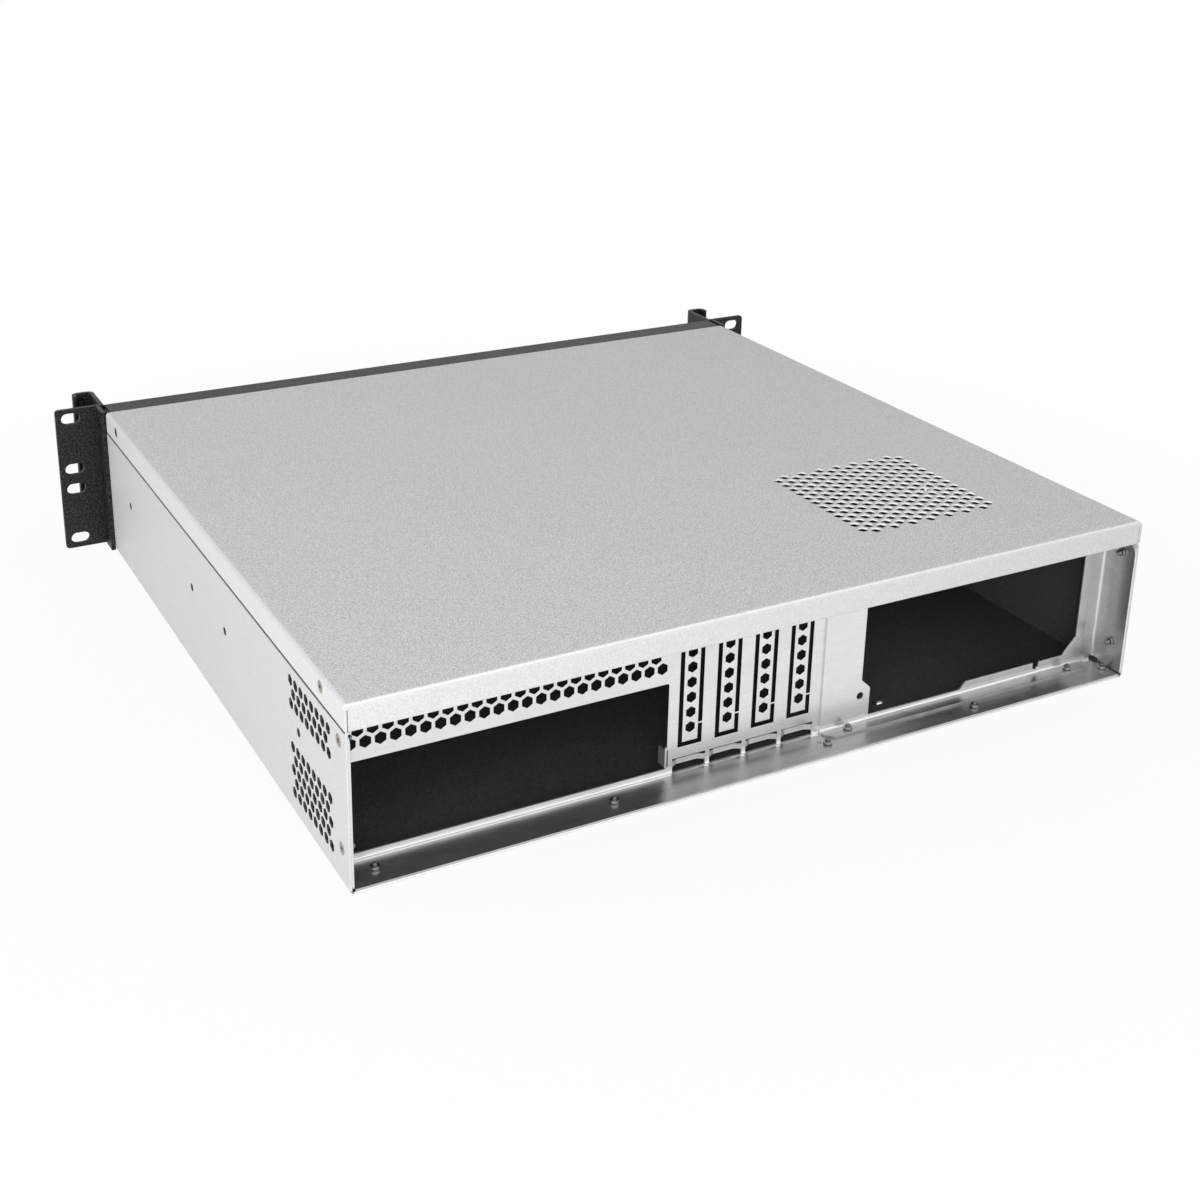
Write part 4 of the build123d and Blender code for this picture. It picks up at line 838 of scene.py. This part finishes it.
class FastenerTree:
    """Geometry Nodes tree that sets a headed fastener on every point."""

    SIZES = {
        "Head Diameter": 0.0058,
        "Shank Diameter": Thread.diameter,
        "Length": 0.006,
        "Thread Pitch": Thread.pitch,
        "Turn Spread": FULL_TURN,
    }
    SIDES = 20
    END_RINGS = 10
    CORE_SHARE = 0.84
    THREADED_SHARE = 0.78
    PLAIN_SHARE = 0.2
    FIRST_SEED = 7

    def __init__(self) -> None:
        """Build the tree."""
        self.tree = bpy.data.node_groups.new("fasteners", "GeometryNodeTree")
        self.graph = Graph(self.tree)
        face = self.tree.interface
        face.new_socket("Points", in_out="INPUT", socket_type="NodeSocketGeometry")
        for name, value in self.SIZES.items():
            size = face.new_socket(name, in_out="INPUT", socket_type="NodeSocketFloat")
            size.default_value = value
        seed = face.new_socket("Seed", in_out="INPUT", socket_type="NodeSocketInt")
        seed.default_value = self.FIRST_SEED
        face.new_socket("Head", in_out="INPUT", socket_type="NodeSocketObject")
        face.new_socket("Finish", in_out="INPUT", socket_type="NodeSocketMaterial")
        face.new_socket("Fasteners", in_out="OUTPUT", socket_type="NodeSocketGeometry")
        self._join()

    def _ridge(self, core: Socket, radius: Socket, pitch: Socket) -> Socket:
        """One turn of the thread, as two cones foot to foot.

        Args:
            core: radius at the thread's root.
            radius: radius at the thread's crest.
            pitch: height of one turn.

        Returns:
            The turn's geometry socket.
        """
        graph, cones = self.graph, []
        half_pitch = graph.math("MULTIPLY", pitch, 0.5)
        for top, bottom, drop in ((core, radius, 0.0), (radius, core, -0.5)):
            sizes = {"Vertices": self.SIDES, "Radius Top": top, "Radius Bottom": bottom,
                     "Depth": half_pitch}
            cone = graph.add("GeometryNodeMeshCone", sizes).outputs["Mesh"]
            place = graph.vector(Z=graph.math("MULTIPLY", pitch, drop))
            cones.append(graph.moved(cone, Translation=place))
        return graph.joined(*cones)

    def _thread(self, ridge: Socket, length: Socket, pitch: Socket) -> Socket:
        """Row of turns along the shank.

        Args:
            ridge: geometry of one turn.
            length: length of the fastener.
            pitch: height of one turn.

        Returns:
            The thread's geometry socket.
        """
        add, calc = self.graph.add, self.graph.math
        threaded = calc("MULTIPLY", length, self.THREADED_SHARE)
        line = add("GeometryNodeMeshLine", {
            "Count": calc("SUBTRACT", calc("DIVIDE", threaded, pitch), 1.0),
            "Start Location": self.graph.vector(Z=calc("MULTIPLY", length, -self.PLAIN_SHARE)),
            "Offset": self.graph.vector(Z=calc("MULTIPLY", pitch, -1.0)),
        }).outputs[0]
        return add("GeometryNodeInstanceOnPoints", {"Points": line, "Instance": ridge}).outputs[0]

    def _shank(self, given: Any) -> Socket:
        """Threaded shank that hangs below the origin, with a rounded end.

        Args:
            given: outputs of the group's input node.

        Returns:
            The shank's geometry socket.
        """
        graph, calc = self.graph, self.graph.math
        length, pitch = given["Length"], given["Thread Pitch"]
        radius = calc("MULTIPLY", given["Shank Diameter"], 0.5)
        core = calc("MULTIPLY", radius, self.CORE_SHARE)
        sizes = {"Vertices": self.SIDES, "Radius": core, "Depth": calc("SUBTRACT", length, core)}
        rod = graph.add("GeometryNodeMeshCylinder", sizes).outputs["Mesh"]
        rod = graph.moved(rod, Translation=graph.vector(Z=calc("MULTIPLY", length, -0.5)))
        thread = self._thread(self._ridge(core, radius, pitch), length, pitch)
        sizes = {"Segments": self.SIDES, "Rings": self.END_RINGS, "Radius": core}
        end = graph.add("GeometryNodeMeshUVSphere", sizes).outputs["Mesh"]
        end = graph.moved(end, Translation=graph.vector(Z=calc("SUBTRACT", core, length)))
        return graph.joined(rod, thread, end)

    def _join(self) -> None:
        """Put head and shank together, set them on the points and finish them."""
        add, graph = self.graph.add, self.graph
        given = add("NodeGroupInput").outputs
        head = add("GeometryNodeObjectInfo", {"Object": given["Head"]}).outputs["Geometry"]
        across = graph.vector(**{axis: given["Head Diameter"] for axis in "XYZ"})
        whole = graph.joined(graph.moved(head, Scale=across), self._shank(given))
        one = add("GeometryNodeRealizeInstances", {"Geometry": whole}).outputs[0]
        facing = add("GeometryNodeInputNamedAttribute", {"Name": "facing"},
                     data_type="FLOAT_VECTOR").outputs[0]
        aimed = add("FunctionNodeAlignRotationToVector", {"Vector": facing}, axis="Z").outputs[0]
        turn = add("FunctionNodeRandomValue", {"Min": 0.0, "Seed": given["Seed"]},
                   data_type="FLOAT")
        self.tree.links.new(given["Turn Spread"], turn.inputs[3])
        spin = add("FunctionNodeAxisAngleToRotation", {"Axis": (0, 0, 1),
                                                       "Angle": turn.outputs[1]}).outputs[0]
        turned = add("FunctionNodeRotateRotation", {"Rotation": aimed, "Rotate By": spin},
                     rotation_space="LOCAL").outputs[0]
        placed = add("GeometryNodeInstanceOnPoints", {"Points": given["Points"], "Instance": one,
                                                      "Rotation": turned}).outputs[0]
        solid = add("GeometryNodeRealizeInstances", {"Geometry": placed}).outputs[0]
        finished = add("GeometryNodeSetMaterial", {"Geometry": solid,
                                                   "Material": given["Finish"]}).outputs[0]
        add("NodeGroupOutput", {0: finished})

    def socket(self, name: str) -> str:
        """Identifier of the input socket with this name."""
        items = self.tree.interface.items_tree
        return next(item.identifier for item in items if item.name == name)


@dataclass(frozen=True)
class Workshop:
    """What every sub-assembly needs: the finishes, the fasteners' tree and their heads."""

    kit: Finishes
    tree: FastenerTree
    heads: dict[Head, bpy.types.Object]


@dataclass(frozen=True)
class FastenerSet:
    """All the fasteners of one CAD node, with a finish of their own where the slot's isn't theirs."""

    node: str
    head: Head
    facing: Facing
    slot: Finish
    finish: Finish | None = None
    thread: Thread = Thread()
    turn_spread: float = FULL_TURN
    seed: int = FastenerTree.FIRST_SEED

    def build(self, shop: Workshop) -> bpy.types.Object:
        """Set the fasteners and hide the plain ones.

        Args:
            shop: the finishes, the tree and the heads.

        Returns:
            The object that holds them all.
        """
        places, ways = [], []
        for low, high in solid_boxes(self.node):
            middle, half = (low + high) / 2, (high - low) / 2
            way = self.facing.direction(middle)
            places.append(middle + Vector(part * size for part, size in zip(way, half)))
            ways.append(way)
        # The solids of one node are alike, so the last one's box gives the size of them all.
        length = sum(abs(part) * 2 * size for part, size in zip(way, half))
        across = max((1 - abs(part)) * 2 * size for part, size in zip(way, half))
        mesh = bpy.data.meshes.new(self.node + "_places")
        mesh.from_pydata(places, [], [])
        attribute = mesh.attributes.new("facing", "FLOAT_VECTOR", "POINT")
        for item, way in zip(attribute.data, ways):
            item.vector = way
        holder = bpy.data.objects.new(self.node + "_set", mesh)
        bpy.context.scene.collection.objects.link(holder)
        modifier = holder.modifiers.new("fasteners", "NODES")
        modifier.node_group = shop.tree.tree
        values = {
            "Head Diameter": across,
            "Shank Diameter": self.thread.diameter,
            "Length": length,
            "Thread Pitch": self.thread.pitch,
            "Turn Spread": self.turn_spread,
            "Seed": self.seed,
            "Head": shop.heads[self.head],
            "Finish": shop.kit.materials[self.finish or self.slot],
        }
        for name, value in values.items():
            modifier[shop.tree.socket(name)] = value
        holder.data = finished_mesh(holder)
        holder.modifiers.remove(modifier)
        for polygon in holder.data.polygons:
            polygon.use_smooth = False
        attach(holder, CASE_BODY)
        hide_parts(self.node)
        return holder


class SubAssembly(ABC):
    """Pieces that belong together: dressed CAD nodes and the fasteners that hold them."""

    title: str

    @abstractmethod
    def finishes(self) -> dict[str, Finish]:
        """Finish of each CAD node."""

    @abstractmethod
    def fasteners(self) -> list[FastenerSet]:
        """Fasteners, in the order that they are set."""

    def build(self, shop: Workshop) -> None:
        """Dress the CAD nodes and set the fasteners.

        Args:
            shop: the finishes, the tree and the heads.
        """
        for node, finish in self.finishes().items():
            shop.kit.dress(node, finish)
            log.info("%s: %s in %s", self.title, node, finish.value)
        for group in self.fasteners():
            piece = group.build(shop)
            log.info("%s: %s, %d faces", self.title, piece.name, len(piece.data.polygons))


@dataclass
class Shell(SubAssembly):
    """Tray and lid, with the brace under the lid."""

    title: str = "shell"
    screw_thread: Thread = Thread()
    lid_seed: int = 7
    side_seed: int = 11

    def finishes(self) -> dict[str, Finish]:
        """Finish of each CAD node."""
        return {"base_tray": Finish.PAINTED_STEEL, "top_cover": Finish.PAINTED_STEEL,
                "cross_brace": Finish.BARE_STEEL}

    def fasteners(self) -> list[FastenerSet]:
        """Screws of the lid and of the sides, and the brace's rivets.

        Returns:
            The sets, in the order that they are set.
        """
        return [
            FastenerSet("lid_screws", Head.FLAT, Facing.OUTWARD, Finish.BROWN_SCREW,
                        thread=self.screw_thread, seed=self.lid_seed),
            FastenerSet("side_screws", Head.FLAT, Facing.OUTWARD, Finish.BROWN_SCREW,
                        thread=self.screw_thread, seed=self.side_seed),
            FastenerSet("brace_rivets", Head.RIVET, Facing.INWARD, Finish.ALUMINIUM_RIVET),
        ]


@dataclass
class RearWall(SubAssembly):
    """Bare pan with the rear wall, and the plate round the supply opening."""

    title: str = "rear wall"
    screw_thread: Thread = Thread()
    floor_seed: int = 3
    supply_seed: int = 5
    card_seed: int = 2

    def finishes(self) -> dict[str, Finish]:
        """Finish of each CAD node."""
        return {"rear_panel": Finish.BARE_STEEL, "psu_plate": Finish.BARE_STEEL,
                "press_nuts": Finish.ZINC_SCREW}

    def fasteners(self) -> list[FastenerSet]:
        """Screws of the floor, of the supply plate and of the card slots.

        Returns:
            The sets, in the order that they are set.
        """
        return [
            FastenerSet("floor_screws", Head.FLAT, Facing.DOWN, Finish.ZINC_SCREW,
                        Finish.DULL_ZINC, self.screw_thread, seed=self.floor_seed),
            FastenerSet("supply_screws", Head.FLAT, Facing.DOWN, Finish.ZINC_SCREW,
                        Finish.DULL_ZINC, self.screw_thread, seed=self.supply_seed),
            FastenerSet("card_screws", Head.PAN, Facing.UP, Finish.ZINC_SCREW,
                        thread=self.screw_thread, seed=self.card_seed),
        ]


@dataclass
class RackEars(SubAssembly):
    """Black ears with their handles."""

    title: str = "rack ears"
    screw_thread: Thread = Thread(0.004, 0.0007)
    nut_thread: Thread = Thread()

    def finishes(self) -> dict[str, Finish]:
        """Finish of each CAD node."""
        return {"ear_right": Finish.BLACK_PAINT, "ear_left": Finish.BLACK_PAINT}

    def fasteners(self) -> list[FastenerSet]:
        """Screws and nuts that hold the ears to the tray.

        Returns:
            The sets, in the order that they are set.
        """
        return [
            FastenerSet("ear_screws", Head.FLAT, Facing.OUTWARD, Finish.BROWN_SCREW,
                        Finish.BLACK_SCREW, self.screw_thread),
            FastenerSet("ear_nuts", Head.NUT, Facing.INWARD, Finish.ZINC_SCREW,
                        thread=self.nut_thread),
        ]


@dataclass
class Front(SubAssembly):
    """Fascia and the inner front wall behind it."""

    title: str = "front"
    screw_thread: Thread = Thread()

    def finishes(self) -> dict[str, Finish]:
        """Finish of each CAD node."""
        return {"front_panel": Finish.BLACK_PAINT, "front_frame": Finish.BARE_STEEL,
                "fascia_bosses": Finish.BRASS_BOSS}

    def fasteners(self) -> list[FastenerSet]:
        """Screws of the fascia."""
        return [FastenerSet("fascia_screws", Head.FLAT, Facing.FORWARD, Finish.BROWN_SCREW,
                            thread=self.screw_thread)]


@dataclass
class Controls(SubAssembly):
    """Control board with its buttons, lights and sockets."""

    title: str = "controls"
    screw_thread: Thread = Thread()

    def finishes(self) -> dict[str, Finish]:
        """Finish of each CAD node.

        Returns:
            The finish by the node's name.
        """
        return {
            "front_board": Finish.BOARD_GREEN,
            "board_spacers": Finish.BRASS_BOSS,
            "switch_housings": Finish.BLACK_PLASTIC,
            "power_plunger": Finish.WHITE_PLASTIC,
            "reset_plunger": Finish.WHITE_PLASTIC,
            "power_button": Finish.BLACK_PLASTIC,
            "reset_button": Finish.BLACK_PLASTIC,
            "power_lens": Finish.CLEAR_LENS,
            "drive_lens": Finish.CLEAR_LENS,
            "usb_shells": Finish.SOCKET_SHELL,
            "usb_tongues": Finish.BLACK_PLASTIC,
        }

    def fasteners(self) -> list[FastenerSet]:
        """Screws of the board."""
        return [FastenerSet("board_screws", Head.PAN, Facing.FORWARD, Finish.ZINC_SCREW,
                            thread=self.screw_thread)]


@dataclass
class DriveCage(SubAssembly):
    """Cage for two drives behind the fascia's vent."""

    title: str = "drive cage"
    rivet_shank: Thread = Thread()

    def finishes(self) -> dict[str, Finish]:
        """Finish of each CAD node."""
        return {"drive_cage": Finish.BARE_STEEL}

    def fasteners(self) -> list[FastenerSet]:
        """Rivets of the cage."""
        return [FastenerSet("cage_rivets", Head.RIVET, Facing.UP, Finish.ALUMINIUM_RIVET,
                            thread=self.rivet_shank)]


@dataclass(frozen=True)
class CameraRig:
    """Camera at the photograph's place and angle."""

    place: Place = (0.4203, 0.78125, 0.4196)
    look: Place = (-0.43693, -0.83537, -0.33353)
    roll_degrees: float = 0.679
    lens_mm: float = 50.91
    sensor_mm: float = 36.0
    shift: Span = (0.043, -0.15)
    clip: Span = (0.01, 60.0)

    def build(self) -> bpy.types.Object:
        """Make the scene's camera.

        Returns:
            The camera's object.
        """
        camera = bpy.data.objects.new("camera", bpy.data.cameras.new("camera"))
        bpy.context.scene.collection.objects.link(camera)
        ahead = Vector(self.look).normalized()
        level = ahead.cross(Vector((0, 0, 1))).normalized()
        roll = math.radians(self.roll_degrees)
        right = level * math.cos(roll) + level.cross(ahead) * math.sin(roll)
        turned = Matrix((right, right.cross(ahead), -ahead)).transposed().to_4x4()
        camera.matrix_world = Matrix.Translation(self.place) @ turned
        camera.data.lens = self.lens_mm
        camera.data.sensor_width = self.sensor_mm
        camera.data.shift_x, camera.data.shift_y = self.shift
        camera.data.clip_start, camera.data.clip_end = self.clip
        bpy.context.scene.camera = camera
        return camera


@dataclass(frozen=True)
class Lamp:
    """One soft rectangular lamp."""

    name: str
    place: Place
    aim: Place
    size: Span
    watts: float

    def build(self) -> bpy.types.Object:
        """Make the lamp.

        Returns:
            The lamp's object.
        """
        light = bpy.data.lights.new(self.name, "AREA")
        light.shape = "RECTANGLE"
        light.size, light.size_y = self.size
        light.energy = self.watts
        lamp = bpy.data.objects.new(self.name, light)
        bpy.context.scene.collection.objects.link(lamp)
        lamp.visible_glossy = False
        lamp.location = self.place
        aim = Vector(self.aim) - Vector(self.place)
        lamp.rotation_euler = aim.to_track_quat("-Z", "Y").to_euler()
        return lamp


@dataclass(frozen=True)
class Studio:
    """White floor, white surroundings and soft lamps."""

    floor_half: float = 30.0
    floor_drop: float = 0.0002
    floor_colour: Colour = (0.65, 0.65, 0.65)
    own_white: float = 0.93
    fade: Span = (0.25, 0.6)
    ambient: float = 0.5
    lamps: tuple[Lamp, ...] = (
        Lamp("key_lamp", (0.75, 1.1, 0.5), (0.0, 0.1, 0.04), (1.0, 0.8), 12.0),
        Lamp("side_lamp", (1.3, -0.3, 0.6), (0.1, 0.0, 0.04), (1.0, 1.0), 5.5),
        Lamp("top_lamp", (0.0, 0.15, 1.6), (0.0, 0.0, 0.0), (1.6, 1.6), 3.8),
        Lamp("rear_lamp", (0.5, 1.4, 0.22), (0.05, 0.2, 0.06), (1.0, 0.4), 5.5),
    )

    def seen_directly(self, graph: Graph) -> Socket:
        """Tell the rays that show a thing from those that only light it.

        Args:
            graph: the nodes of the floor or of the world.

        Returns:
            One where a ray comes from the camera, a mirror or a clear piece.
        """
        rays = graph.add("ShaderNodeLightPath").outputs
        total = graph.math("MAXIMUM", rays["Is Camera Ray"], rays["Is Glossy Ray"])
        return graph.math("MAXIMUM", total, rays["Is Transmission Ray"])

    def floor(self) -> bpy.types.Object:
        """Make the floor, which shows white but keeps a soft shadow.

        Returns:
            The floor's object.
        """
        material = bpy.data.materials.new("floor")
        material.use_nodes = True
        material.node_tree.nodes.clear()
        graph = Graph(material.node_tree)
        grey = graph.add("ShaderNodeBsdfDiffuse", {"Color": (*self.floor_colour, 1.0)})
        white = graph.add("ShaderNodeEmission", {"Strength": 1.0})
        place = graph.add("ShaderNodeTexCoord").outputs["Object"]
        away = graph.add("ShaderNodeVectorMath", {0: place}, operation="LENGTH").outputs["Value"]
        near, far = self.fade
        fading = graph.add("ShaderNodeMapRange", {"Value": away, "From Min": near, "From Max": far,
                                                  "To Min": self.own_white, "To Max": 1.0})
        share = graph.math("MULTIPLY", self.seen_directly(graph), fading.outputs[0])
        mixed = graph.add("ShaderNodeMixShader", {0: share, 1: grey.outputs[0],
                                                  2: white.outputs[0]})
        graph.add("ShaderNodeOutputMaterial", {"Surface": mixed.outputs[0]})
        bpy.ops.mesh.primitive_plane_add(size=2 * self.floor_half)
        plane = bpy.context.object
        plane.name = "floor"
        plane.location.z = -self.floor_drop
        plane.data.materials.append(material)
        return plane

    def surroundings(self) -> None:
        """Make the world white where it is seen and plain where it only lights."""
        world = bpy.data.worlds.new("surroundings")
        world.use_nodes = True
        world.node_tree.nodes.clear()
        graph = Graph(world.node_tree)
        seen = self.seen_directly(graph)
        strength = graph.add("ShaderNodeMapRange", {"Value": seen, "To Min": self.ambient,
                                                    "To Max": 1.0})
        light = graph.add("ShaderNodeBackground", {"Color": (1.0, 1.0, 1.0, 1.0),
                                                   "Strength": strength.outputs[0]})
        graph.add("ShaderNodeOutputWorld", {"Surface": light.outputs[0]})
        bpy.context.scene.world = world

    def build(self) -> None:
        """Make the floor, the surroundings and the lamps."""
        self.floor()
        self.surroundings()
        for lamp in self.lamps:
            lamp.build()
        bpy.context.scene.view_settings.view_transform = "Standard"


def main() -> None:
    """Build the whole scene."""
    logging.basicConfig(level=logging.INFO, format="%(name)s %(message)s")
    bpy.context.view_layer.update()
    CameraRig().build()
    Studio().build()
    kit = Finishes()
    tree = FastenerTree()
    heads = {kind: HeadForm(kind).build() for kind in Head}
    shop = Workshop(kit, tree, heads)
    for group in (Shell(), RearWall(), RackEars(), Front(), Controls(), DriveCage()):
        group.build(shop)
    for form in heads.values():
        bpy.data.objects.remove(form)


if __name__ == "__main__":
    main()
